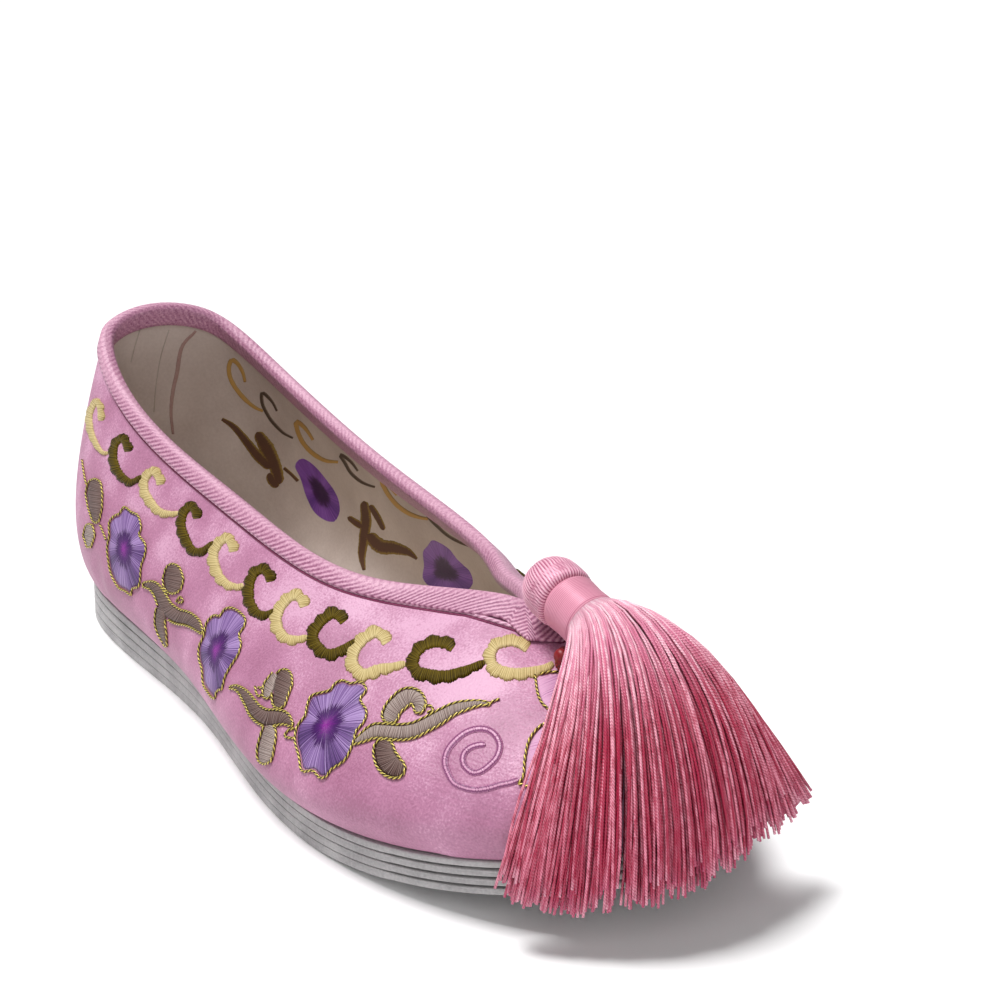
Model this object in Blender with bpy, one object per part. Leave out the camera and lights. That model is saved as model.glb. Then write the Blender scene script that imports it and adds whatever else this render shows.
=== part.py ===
# Embroidered cloth wedding slipper with a tassel, right foot, standing on its sole.
# Frame: toe towards -Y, heel towards +Y, outer side of the foot towards -X, floor at z = 0.
import math
from collections import namedtuple

import bpy
import bmesh
import numpy as np
from mathutils import Vector
from mathutils.bvhtree import BVHTree

MM = 0.001

# Driving sizes of the last, in millimetres
LENGTH = 245.0          # sole, heel back to toe tip
BALL_WIDTH = 85.0       # widest part of the sole
HEEL_HEIGHT = 80.6      # collar edge at the heel, above the floor
SIDE_HEIGHT = 47.2      # lowest part of the collar edge
BALL_STATION = 165.0    # where the flat underside ends and the toe spring starts
TOE_SPRING = 12.5       # lift of the sole at the toe tip

# Sole: padded cloth layers stacked one on another
LAYERS = 4
HEEL_THICKNESS = 10.6
FOREPART_THICKNESS = 7.4
THICK_UNTIL = 45.0      # the sole thins between these two stations
THIN_FROM = 125.0
LAYER_EDGE = 0.75       # how far each layer's rolled edge draws in

# Upper, insole, collar tape and the clearance that neighbours keep
WALL = 1.8
FEATHER_INSET = 0.1     # foot of the upper, in from the sole's edge
INSOLE_THICKNESS = 1.6
INSOLE_EDGE = 0.5
TAPE = 0.8              # thickness of the collar binding
TAPE_INSIDE = 5.0       # its width inside the collar
CLEAR = 0.3
LOW_HANDLE = 0.32       # rib's curve handles, as shares of its chord
TOP_HANDLE = 0.40

# Tassel: head, wrapped band and skirt on one sloping axis over the vamp
HEAD_STATION = 199.0    # centre of the head's dome, from the heel back
HEAD_CENTRE = 56.8      # and above the floor
TASSEL_SLOPE = math.radians(14)
HEAD_RADIUS = 6.7
HEAD_BARREL = 4.4       # straight part between the dome and the band
BAND_RADIUS = 6.3
BAND_LENGTH = 9.4
NECK_RADIUS = 6.0       # skirt where it leaves the band
SKIRT_ROOT = 11.0       # depth of the skirt near the band, at mid length and at the tips
SKIRT_MIDDLE = 7.5
SKIRT_TIP = 4.0
DEPTH_PLACES = (0.0, 0.15, 0.55, 1.0)  # where along the cords those depths are reached
SKIRT_CLEAR = 0.9       # under the skirt
SKIRT_SPRING = 20.0     # handles of the cords' curve at the band and at the tips
SKIRT_FALL = 26.0
LEAVE_AHEAD = 0.5       # parts of the direction in which the cords leave the band
LEAVE_OUT = 0.75
LEAVE_UP = 0.6
LOCKS = 16              # strips of cord fused on the skirt
LOCK_HEIGHT = 1.0
LOCK_RAGGED = 0.05      # share of the length by which the locks' ends differ

# Mesh density
AROUND_SOLE = 66
AROUND_UPPER = 88
RIB_STEPS = 12
INNER_STEPS = 8
TAPE_STEPS = 36
AROUND_NECK = 20
LOCK_STEPS = 3
SKIRT_STEPS = 12

# One row for each section round the shoe, from the heel back to the toe tip.
# along and collar_along are shares of the length; lateral, medial and collar_half are shares of
# the ball width; collar_rise is the share of the way from the side's height to the heel's;
# flare is the wall's outward tilt at the sole and lean its slope at the collar, in degrees; tape
# is the width of the collar binding outside, in millimetres.
Section = namedtuple("Section", """name along lateral medial
                     collar_along collar_half collar_rise flare lean tape""")
SECTIONS = (
    Section("heel back", 0.000, 0.000, 0.000, 0.003, 0.000, 1.00, 17, 79, 3.2),
    Section("heel turn", 0.012, 0.160, 0.154, 0.011, 0.158, 0.93, 16, 76, 3.2),
    Section("heel side", 0.049, 0.300, 0.288, 0.040, 0.230, 0.80, 20, 71, 3.1),
    Section("heel seat", 0.143, 0.388, 0.370, 0.122, 0.275, 0.55, 37, 68, 3.0),
    Section("waist", 0.408, 0.416, 0.352, 0.375, 0.267, 0.17, 58, 62, 3.6),
    Section("ball", 0.673, 0.524, 0.496, 0.590, 0.221, 0.00, 62, 44, 3.8),
    Section("toe joint", 0.837, 0.456, 0.428, 0.682, 0.108, 0.04, 44, 30, 5.6),
    Section("toe side", 0.931, 0.318, 0.303, 0.746, 0.042, 0.11, 28, 26, 6.6),
    Section("toe turn", 0.984, 0.159, 0.151, 0.765, 0.012, 0.10, 19, 25, 8.2),
    Section("toe tip", 1.000, 0.000, 0.000, 0.769, 0.000, 0.09, 16, 25, 14.0),
)

# One row for each bearing of the tassel's skirt: turn from straight ahead in degrees, outer side
# negative; reach of the tips from the neck, in plan; height of the tips above the floor; hang of
# the ends, from 0 for straight cords to 1 for cords that fall plumb; swell of the cords ahead of
# their tips.
Fan = namedtuple("Fan", "name turn reach tip hang swell")
FANS = (
    Fan("outer edge", -62, 38.0, 9.8, 0.75, 5.0),
    Fan("outer front", -40, 37.0, 8.4, 0.80, 3.0),
    Fan("front", -6, 38.0, 11.4, 0.95, 1.0),
    Fan("inner front", 24, 39.5, 17.0, 0.75, 0.0),
    Fan("inner edge", 52, 45.5, 19.0, 0.25, 0.0),
)

# Red cord that ties the tassel down, lying across under the band with a knot at each end, one row
# for each ring of a knot from its end inwards: across is the place along the cord, radius its
# thickness and lift its rise from the straight middle.
Tie = namedtuple("Tie", "across radius lift")
TIES = (
    Tie(6.7, 0.8, 1.0),
    Tie(6.1, 1.7, 1.0),
    Tie(4.9, 2.0, 0.9),
    Tie(3.6, 1.3, 0.5),
)
TIE_STRAIGHT = 2.4      # half the length of its straight middle
TIE_PLACE = 0.62        # along the band, as a share of its length

Around = namedtuple("Around", "sole_x sole_s collar_x collar_s collar_z flare lean tape")


def periodic_spline(knots, values):
    """Smooth closed curve through the values; knots holds one more place, where the curve closes."""
    count = len(values)
    span = np.diff(knots)
    values = np.asarray(values, float)
    slope = (np.roll(values, -1, axis=0) - values) / span[:, None]
    system = np.zeros((count, count))
    for i in range(count):
        before = span[i - 1]
        after = span[i]
        system[i, i] = 2 * (before + after)
        system[i, i - 1] += before
        system[i, (i + 1) % count] += after
    bend = np.linalg.solve(system, 6 * (slope - np.roll(slope, 1, axis=0)))

    def at(place):
        i = min(max(int(np.searchsorted(knots, place, side="right")) - 1, 0), count - 1)
        j = (i + 1) % count
        done = place - knots[i]
        left = span[i] - done
        cubic = (bend[i] * left ** 3 + bend[j] * done ** 3) / (6 * span[i])
        return (cubic + (values[i] / span[i] - bend[i] * span[i] / 6) * left
                + (values[j] / span[i] - bend[j] * span[i] / 6) * done)

    return at


def section_row(section, side):
    """The section's numbers in millimetres, on the outer side (-1) or the inner side (+1)."""
    half = section.lateral if side < 0 else section.medial
    return Around(
        side * half * BALL_WIDTH,
        section.along * LENGTH,
        side * section.collar_half * BALL_WIDTH,
        section.collar_along * LENGTH,
        SIDE_HEIGHT + section.collar_rise * (HEEL_HEIGHT - SIDE_HEIGHT),
        section.flare,
        section.lean,
        section.tape,
    )


def shoe_loop(count):
    """Rows at count places round the shoe: heel back, outer side, toe tip, inner side."""
    rows = [section_row(s, -1) for s in SECTIONS] + [section_row(s, 1) for s in SECTIONS[-2:0:-1]]
    closed = rows + rows[:1]
    steps = [math.hypot(b.sole_x - a.sole_x, b.sole_s - a.sole_s) for a, b in zip(closed, closed[1:])]
    knots = np.concatenate([[0.0], np.cumsum(steps)])
    toe = knots[len(SECTIONS) - 1]
    curve = periodic_spline(knots, rows)
    half = count // 2
    places = [toe * i / half for i in range(half)]
    places += [toe + (knots[-1] - toe) * i / half for i in range(half)]
    return [Around(*curve(p)) for p in places]


def smooth_step(low, high, value):
    share = min(max((value - low) / (high - low), 0.0), 1.0)
    return share * share * (3 - 2 * share)


def bezier(start, first, second, end, t):
    u = 1 - t
    return start * u ** 3 + first * 3 * u * u * t + second * 3 * u * t * t + end * t ** 3


def ground_lift(station):
    """Underside of the sole: flat to the ball, then rising to the toe."""
    ahead = max(station - BALL_STATION, 0.0) / (LENGTH - BALL_STATION)
    return TOE_SPRING * ahead * ahead


def sole_thickness(station):
    thinned = smooth_step(THICK_UNTIL, THIN_FROM, station)
    return HEEL_THICKNESS + (FOREPART_THICKNESS - HEEL_THICKNESS) * thinned


def footbed_height(station):
    return ground_lift(station) + sole_thickness(station) + CLEAR


def point(x, station, z):
    return Vector((x, LENGTH / 2 - station, z))


def plan_normals(points):
    """Outward directions in plan of a closed loop that runs heel, outer side, toe, inner side."""
    normals = []
    for i in range(len(points)):
        run = points[(i + 1) % len(points)] - points[i - 1]
        normals.append(Vector((run.y, -run.x, 0)).normalized())
    return normals


def sole_outline(count, inset):
    """Plan outline of the sole drawn in by inset, as points on the floor."""
    loop = [point(row.sole_x, row.sole_s, 0) for row in shoe_loop(count)]
    return [p - n * inset for p, n in zip(loop, plan_normals(loop))]


def raised(outline, height_at):
    """The outline lifted to height_at(station)."""
    return [Vector((p.x, p.y, height_at(LENGTH / 2 - p.y))) for p in outline]


def finish(name, colour, roughness):
    material = bpy.data.materials.new(name + "_finish")
    material.use_nodes = True
    shader = material.node_tree.nodes["Principled BSDF"]
    shader.inputs["Base Color"].default_value = (*colour, 1)
    shader.inputs["Roughness"].default_value = roughness
    return material


def body(name, rings, colour, roughness, capped):
    """One closed solid through the rings: capped across at both ends, or joined last ring to first."""
    mesh = bpy.data.meshes.new(name)
    bm = bmesh.new()
    loops = [[bm.verts.new(p * MM) for p in ring] for ring in rings]
    pairs = list(zip(loops, loops[1:]))
    if not capped:
        pairs.append((loops[-1], loops[0]))
    for low, high in pairs:
        for i in range(len(low)):
            bm.faces.new((low[i - 1], low[i], high[i], high[i - 1]))
    if capped:
        for loop in (loops[0], loops[-1]):
            count = len(loop)
            for i in range(count // 2):
                strip = [loop[i], loop[i + 1], loop[count - i - 1], loop[-i]]
                bm.faces.new(list(dict.fromkeys(strip)))
    bmesh.ops.triangulate(bm, faces=bm.faces)
    bmesh.ops.recalc_face_normals(bm, faces=bm.faces)
    bm.to_mesh(mesh)
    bm.free()
    mesh.shade_smooth()
    mesh.set_sharp_from_angle(angle=math.radians(40))
    mesh.materials.append(finish(name, colour, roughness))
    item = bpy.data.objects.new(name, mesh)
    bpy.context.collection.objects.link(item)
    return item


def sole_layer(index):
    """One cloth layer of the sole, counted from the floor, with its rolled edge."""
    def height(share):
        def at(station):
            layer = (sole_thickness(station) - CLEAR * (LAYERS - 1)) / LAYERS
            return ground_lift(station) + index * (layer + CLEAR) + share * layer
        return at

    rolled_edge = ((0.0, 1.0), (0.22, 0.2), (0.5, 0.0), (0.78, 0.2), (1.0, 1.0))
    rings = []
    for share, draw in rolled_edge:
        rings.append(raised(sole_outline(AROUND_SOLE, draw * LAYER_EDGE), height(share)))
    return body("sole_layer_%d" % (index + 1), rings, (0.50, 0.49, 0.46), 0.85, True)


def insole():
    """Cotton insole inside the foot of the upper."""
    reach = FEATHER_INSET + WALL + CLEAR
    rolled_edge = ((0.0, 1.0), (0.4, 0.0), (1.0, 1.0))
    rings = []
    for share, draw in rolled_edge:
        outline = sole_outline(AROUND_SOLE, reach + draw * INSOLE_EDGE)
        lift = share * INSOLE_THICKNESS
        rings.append(raised(outline, lambda station, lift=lift: footbed_height(station) + lift))
    return body("insole", rings, (0.62, 0.53, 0.38), 0.9, True)


def upper_ribs(steps):
    """Points of the upper's outer face: one list for each rib, from the sole up to the collar edge."""
    rows = shoe_loop(AROUND_UPPER)
    feet = raised(sole_outline(AROUND_UPPER, FEATHER_INSET), footbed_height)
    edges = [point(row.collar_x, row.collar_s, row.collar_z) for row in rows]
    foot_out = plan_normals(feet)
    edge_out = plan_normals(edges)
    ribs = []
    for row, foot, edge, low_out, top_out in zip(rows, feet, edges, foot_out, edge_out):
        chord = (edge - foot).length
        flare = math.radians(row.flare)
        lean = math.radians(row.lean)
        low = foot + (low_out * math.sin(flare) + Vector((0, 0, math.cos(flare)))) * LOW_HANDLE * chord
        top = edge + (top_out * math.cos(lean) - Vector((0, 0, math.sin(lean)))) * TOP_HANDLE * chord
        ribs.append([bezier(foot, low, top, edge, i / steps) for i in range(steps + 1)])
    return ribs


def rib_normals(ribs):
    """Outward direction of the upper's outer face at every rib point."""
    count = len(ribs)
    last = len(ribs[0]) - 1
    normals = []
    for i in range(count):
        line = []
        for j in range(last + 1):
            round_shoe = ribs[(i + 1) % count][j] - ribs[i - 1][j]
            up_rib = ribs[i][min(j + 1, last)] - ribs[i][max(j - 1, 0)]
            line.append(round_shoe.cross(up_rib).normalized())
        normals.append(line)
    return normals


def upper():
    """Hollow cloth upper: outer face, lining face, open at the collar and underneath."""
    outer = upper_ribs(RIB_STEPS)
    lining = upper_ribs(INNER_STEPS)
    outward = rib_normals(lining)
    rings = [[rib[j] for rib in outer] for j in range(RIB_STEPS + 1)]
    for j in range(INNER_STEPS, 0, -1):
        rings.append([rib[j] - n[j] * WALL for rib, n in zip(lining, outward)])
    rings.append(raised(sole_outline(AROUND_UPPER, FEATHER_INSET + WALL), footbed_height))
    return body("upper", rings, (0.80, 0.36, 0.56), 0.45, False)


def on_rib(rib, normals, down, off):
    """Point at a distance down the rib from the collar edge and off the outer face."""
    edge = rib[-1]
    if down < 0:
        up = (rib[-1] - rib[-2]).normalized()
        return edge - up * down + normals[-1] * off
    left = down
    j = len(rib) - 1
    step = (rib[j] - rib[j - 1]).length
    while left > step and j > 1:
        left -= step
        j -= 1
        step = (rib[j] - rib[j - 1]).length
    share = left / step
    return rib[j].lerp(rib[j - 1], share) + normals[j].lerp(normals[j - 1], share).normalized() * off


def collar_binding():
    """Bias tape folded over the collar's edge, widest outside where its two ends meet at the throat."""
    face = CLEAR + TAPE
    middle = -WALL / 2
    half = WALL / 2 + face
    ribs = upper_ribs(TAPE_STEPS)
    normals = rib_normals(ribs)
    loops = []
    for rib, out, row in zip(ribs, normals, shoe_loop(AROUND_UPPER)):
        section = [(row.tape, face)]
        for turn in (0.0, math.pi / 3, 2 * math.pi / 3, math.pi):
            section.append((-face * math.sin(turn), middle + half * math.cos(turn)))
        section += [(TAPE_INSIDE, -WALL - face), (TAPE_INSIDE, -WALL - CLEAR)]
        section += [(-CLEAR, -WALL - CLEAR), (-CLEAR, CLEAR), (row.tape, CLEAR)]
        loops.append([on_rib(rib, out, down, off) for down, off in section])
    return body("collar_binding", zip(*loops), (0.78, 0.34, 0.53), 0.6, False)


# The tassel's axis and the two directions across it
AHEAD = Vector((0, -math.cos(TASSEL_SLOPE), -math.sin(TASSEL_SLOPE)))
ACROSS = Vector((1, 0, 0))
ABOVE = Vector((0, -math.sin(TASSEL_SLOPE), math.cos(TASSEL_SLOPE)))


def on_axis(along):
    """Point of the tassel's axis, measured towards the toe from the dome's centre."""
    return point(0, HEAD_STATION, HEAD_CENTRE) + AHEAD * along


def neck_ring(along, radius):
    ring = []
    for i in range(AROUND_NECK):
        a = 2 * math.pi * i / AROUND_NECK
        ring.append(on_axis(along) + (ACROSS * math.cos(a) + ABOVE * math.sin(a)) * radius)
    return ring


def tassel_head():
    """Cap of wound thread: a dome, then a short barrel drawn in at the band."""
    dome = [neck_ring(-HEAD_RADIUS * math.cos(a), HEAD_RADIUS * math.sin(a))
            for a in (math.radians(d) for d in (8, 28, 48, 68, 90))]
    drawn_in = HEAD_BARREL - 1.0
    barrel = [neck_ring(drawn_in, HEAD_RADIUS), neck_ring(HEAD_BARREL, BAND_RADIUS - 0.3)]
    return body("tassel_head", dome + barrel, (0.78, 0.38, 0.50), 0.5, True)


def tassel_band():
    """Neck wrapped with fine thread, a little waisted."""
    start = HEAD_BARREL + CLEAR
    shape = ((0.0, -0.5), (0.1, 0.0), (0.5, -0.2), (0.9, 0.0), (1.0, -0.5))
    rings = [neck_ring(start + share * BAND_LENGTH, BAND_RADIUS + change) for share, change in shape]
    return body("tassel_band", rings, (0.72, 0.28, 0.42), 0.4, True)


def surface_tree(items):
    """Search tree over the faces of some finished pieces."""
    points = []
    faces = []
    for item in items:
        first = len(points)
        points += [v.co / MM for v in item.data.vertices]
        faces += [[first + i for i in f.vertices] for f in item.data.polygons]
    return BVHTree.FromPolygons(points, faces)


def tassel_tie(vamp):
    """Knotted red cord squeezed between the band and the vamp."""
    middle = on_axis(HEAD_BARREL + CLEAR + BAND_LENGTH * TIE_PLACE)
    under_band = middle.z - BAND_RADIUS / math.cos(TASSEL_SLOPE) - CLEAR
    on_vamp = vamp.ray_cast(middle, Vector((0, 0, -1)))[0].z + CLEAR
    centre = (under_band + on_vamp) / 2
    thin = (under_band - on_vamp) / 2
    rows = [tie._replace(across=-tie.across) for tie in TIES]
    rows += [Tie(across, thin, 0.0) for across in (-TIE_STRAIGHT, TIE_STRAIGHT)]
    rows += TIES[::-1]
    rings = []
    for row in rows:
        ring = []
        for i in range(AROUND_NECK // 2):
            a = 4 * math.pi * i / AROUND_NECK
            height = centre + row.lift + row.radius * math.sin(a)
            ring.append(Vector((row.across, middle.y + row.radius * math.cos(a), height)))
        rings.append(ring)
    return body("tassel_tie", rings, (0.38, 0.01, 0.02), 0.4, True)


def skirt_strand(share):
    """Curve handles of the skirt's top at a share of the way from its outer to its inner edge."""
    row = share * (len(FANS) - 1)
    columns = list(zip(*FANS))[1:]
    turn, reach, tip_height, hang, swell = [float(np.interp(row, range(len(FANS)), c)) for c in columns]
    root = on_axis(HEAD_BARREL + BAND_LENGTH + 2 * CLEAR)
    a = math.radians(170 - 160 * share)
    side = ACROSS * math.cos(a) + ABOVE * math.sin(a)
    bearing = Vector((math.sin(math.radians(turn)), -math.cos(math.radians(turn)), 0))
    start = root + side * NECK_RADIUS
    end = root + bearing * reach
    end.z = tip_height
    leave = AHEAD * LEAVE_AHEAD + bearing * LEAVE_OUT + ABOVE * LEAVE_UP * math.sin(a)
    arrive = (start - end).normalized().lerp(Vector((0, 0, 1)), hang)
    first = start + leave.normalized() * SKIRT_SPRING
    second = end + arrive.normalized() * SKIRT_FALL + Vector((0, -swell, 0))
    return start, first, second, end


def tassel_skirt(beneath):
    """Fan of silk cords over the toe: one draped body with locks fused along it."""
    count = LOCKS * LOCK_STEPS
    strands = [skirt_strand(k / count) for k in range(count + 1)]
    trims = [1 - LOCK_RAGGED * (0.5 + 0.5 * math.sin(2.4 * (k // LOCK_STEPS))) for k in range(count + 1)]
    sheet = [[bezier(*strand, trim * j / SKIRT_STEPS) for j in range(SKIRT_STEPS + 1)]
             for strand, trim in zip(strands, trims)]
    root = on_axis(HEAD_BARREL + BAND_LENGTH + 2 * CLEAR)
    rings = []
    for j in range(SKIRT_STEPS + 1):
        share = j / SKIRT_STEPS
        depth = float(np.interp(share, DEPTH_PLACES, (0.0, SKIRT_ROOT, SKIRT_MIDDLE, SKIRT_TIP)))
        top = []
        low = []
        for k in range(count + 1):
            here = sheet[k][j]
            round_fan = sheet[min(k + 1, count)][j] - sheet[max(k - 1, 0)][j]
            down_strand = sheet[k][min(j + 1, SKIRT_STEPS)] - sheet[k][max(j - 1, 0)]
            out = down_strand.cross(round_fan).normalized()
            lock = math.sin(math.pi * (k % LOCK_STEPS) / LOCK_STEPS) * LOCK_HEIGHT * min(4 * share, 1.0)
            top.append(here + out * lock)
            if j == 0:
                low.append(root - (here - root).reflect(ACROSS))
            else:
                room = beneath.find_nearest(here)[3] - SKIRT_CLEAR
                low.append(here - out * min(depth, room))
        rings.append(top + low[::-1])
    return body("tassel_skirt", rings, (0.70, 0.12, 0.24), 0.45, True)


for old in list(bpy.data.objects):
    bpy.data.objects.remove(old, do_unlink=True)
layers = [sole_layer(layer_index) for layer_index in range(LAYERS)]
insole()
shell = upper()
binding = collar_binding()
tassel_head()
tassel_band()
tassel_tie(surface_tree([shell]))
tassel_skirt(surface_tree(layers + [shell, binding]))
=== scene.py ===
import math
import random

import bmesh
import bpy
import numpy as np
from mathutils import Matrix, Vector
from mathutils.bvhtree import BVHTree


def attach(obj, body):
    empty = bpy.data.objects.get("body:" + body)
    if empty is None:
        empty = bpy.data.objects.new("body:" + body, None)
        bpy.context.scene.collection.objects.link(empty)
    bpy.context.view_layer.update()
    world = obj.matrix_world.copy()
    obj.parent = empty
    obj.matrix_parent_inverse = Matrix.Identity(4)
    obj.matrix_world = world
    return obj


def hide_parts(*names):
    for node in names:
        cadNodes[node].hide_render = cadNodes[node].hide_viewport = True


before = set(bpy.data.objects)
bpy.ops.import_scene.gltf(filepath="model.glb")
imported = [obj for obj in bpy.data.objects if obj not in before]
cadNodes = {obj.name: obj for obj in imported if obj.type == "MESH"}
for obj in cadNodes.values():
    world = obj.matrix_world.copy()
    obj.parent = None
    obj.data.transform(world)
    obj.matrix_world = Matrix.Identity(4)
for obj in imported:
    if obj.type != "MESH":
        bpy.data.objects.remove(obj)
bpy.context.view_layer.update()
mm = 0.001
dice = random.Random(8)


# Camera at the photograph's angle, from a fit of the sole edge, the collar and the toe
photoView = {
    "imageSize": 1000,          # pixels across the square picture
    "focalPixels": 1979.97,
    "middle": (518.249, 458.861),  # where the optical axis meets the picture
    "place": (-221.0431, -389.6791, 194.3805),  # millimetres
    "yaw": 0.5937,
    "pitch": 0.2793,
    "roll": 0.0167,
    "sensor": 36.0,
}
yaw, pitch, roll = photoView["yaw"], photoView["pitch"], photoView["roll"]
viewAhead = Vector((math.sin(yaw) * math.cos(pitch), math.cos(yaw) * math.cos(pitch), -math.sin(pitch)))
levelRight = Vector((math.cos(yaw), -math.sin(yaw), 0))
levelUp = levelRight.cross(viewAhead)
viewRight = levelRight * math.cos(roll) + levelUp * math.sin(roll)
viewUp = levelUp * math.cos(roll) - levelRight * math.sin(roll)
viewPlace = Vector(photoView["place"]) * mm

cameraData = bpy.data.cameras.new("photoCamera")
cameraData.sensor_width = photoView["sensor"]
cameraData.lens = photoView["focalPixels"] / photoView["imageSize"] * photoView["sensor"]
cameraData.shift_x = 0.5 - photoView["middle"][0] / photoView["imageSize"]
cameraData.shift_y = photoView["middle"][1] / photoView["imageSize"] - 0.5
cameraData.clip_start = 0.01
camera = bpy.data.objects.new("photoCamera", cameraData)
turn = Matrix((viewRight, viewUp, -viewAhead)).transposed().to_4x4()
camera.matrix_world = Matrix.Translation(viewPlace) @ turn
bpy.context.scene.collection.objects.link(camera)
bpy.context.scene.camera = camera


def pixelRay(x, y):
    right = (x - photoView["middle"][0]) / photoView["focalPixels"]
    down = (y - photoView["middle"][1]) / photoView["focalPixels"]
    return (viewAhead + viewRight * right - viewUp * down).normalized()


def hexToLinear(code):
    channels = [int(code[i:i + 2], 16) / 255 for i in (1, 3, 5)]
    linear = [c / 12.92 if c <= 0.04045 else ((c + 0.055) / 1.055) ** 2.4 for c in channels]
    return (*linear, 1.0)


def addNode(tree, kind, sockets, **settings):
    node = tree.nodes.new("ShaderNode" + kind)
    for key, value in settings.items():
        if key == "stops":  # colour ramp: place, hex
            while len(node.color_ramp.elements) < len(value):
                node.color_ramp.elements.new(0.5)
            for element, (place, code) in zip(node.color_ramp.elements, value):
                element.position = place
                element.color = hexToLinear(code)
        else:
            setattr(node, key, value)
    for key, value in sockets.items():
        if isinstance(value, bpy.types.Node):  # a node stands for its first output
            value = value.outputs[0]
        if isinstance(value, bpy.types.NodeSocket):
            tree.links.new(value, node.inputs[key])
        else:
            node.inputs[key].default_value = value
    return node


def newMaterial(name, roughness, settings):
    material = bpy.data.materials.new(name)
    material.use_nodes = True
    shader = material.node_tree.nodes["Principled BSDF"]
    shader.inputs["Roughness"].default_value = roughness
    for key, value in settings.items():
        shader.inputs[key].default_value = value
    return material, material.node_tree


def wireSurface(material, colour, relief=None):
    tree = material.node_tree
    shader = tree.nodes["Principled BSDF"]
    tree.links.new(colour, shader.inputs["Base Color"])
    if relief is not None:
        tree.links.new(relief.outputs["Normal"], shader.inputs["Normal"])
    return material


# Place on a piece's own UV map: along the threads or the cord, and across
def threadPlace(tree):
    parts = addNode(tree, "SeparateXYZ", {0: addNode(tree, "TexCoord", {}).outputs["UV"]})
    return parts.outputs["X"], parts.outputs["Y"]


# Smooth curve through points, sampled at even steps
def smoothLine(points, count, closed=False):
    p = np.array(points, float)
    p = np.vstack([p[-1:], p, p[:2]]) if closed else np.vstack([2 * p[0] - p[1], p, 2 * p[-1] - p[-2]])
    spans = len(p) - 3
    place = np.linspace(0, spans, 40 * spans + 1)
    i = np.minimum(place.astype(int), spans - 1)
    f = (place - i)[:, None]
    a, b, c, d = p[i], p[i + 1], p[i + 2], p[i + 3]
    fine = b + 0.5 * f * (c - a + f * (2 * a - 5 * b + 4 * c - d + f * (3 * (b - c) + d - a)))
    run = np.concatenate([[0], np.cumsum(np.linalg.norm(np.diff(fine, axis=0), axis=1))])
    wanted = np.linspace(0, run[-1], count, endpoint=not closed)
    return np.stack([np.interp(wanted, run, fine[:, k]) for k in range(p.shape[1])], axis=1)


def addPiece(name, mesh, materials, replaced=()):
    piece = bpy.data.objects.new(name, mesh)
    bpy.context.scene.collection.objects.link(piece)
    for material in materials:
        mesh.materials.append(material)
    mesh.shade_smooth()
    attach(piece, "root")
    if replaced:
        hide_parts(*replaced)
    return piece


def meshOf(name, bm):
    mesh = bpy.data.meshes.new(name)
    bm.to_mesh(mesh)
    bm.free()
    return mesh


def treeOf(mesh):
    return BVHTree.FromPolygons([v.co for v in mesh.vertices], [p.vertices for p in mesh.polygons])


# Welds a CAD node's loose triangles into quads and smooths them, keeping its hard edges firm
def refinedCopy(node, levels, hardAngle, firmness):
    bm = bmesh.new()
    bm.from_mesh(cadNodes[node].data)
    bmesh.ops.remove_doubles(bm, verts=bm.verts, dist=0.01 * mm)
    bmesh.ops.join_triangles(bm, faces=bm.faces, angle_face_threshold=math.radians(50),
                             angle_shape_threshold=math.radians(60))
    crease = bm.edges.layers.float.new("crease_edge")
    for edge in bm.edges:
        if edge.is_manifold and edge.calc_face_angle() > math.radians(hardAngle):
            edge[crease] = firmness
    helper = bpy.data.objects.new("smoothing", meshOf("smoothing", bm))
    bpy.context.scene.collection.objects.link(helper)
    subsurf = helper.modifiers.new("smooth", "SUBSURF")
    subsurf.levels = subsurf.render_levels = levels
    bpy.context.view_layer.update()
    mesh = bpy.data.meshes.new_from_object(helper.evaluated_get(bpy.context.evaluated_depsgraph_get()))
    mesh.materials.clear()
    bpy.data.objects.remove(helper)
    return mesh


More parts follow.
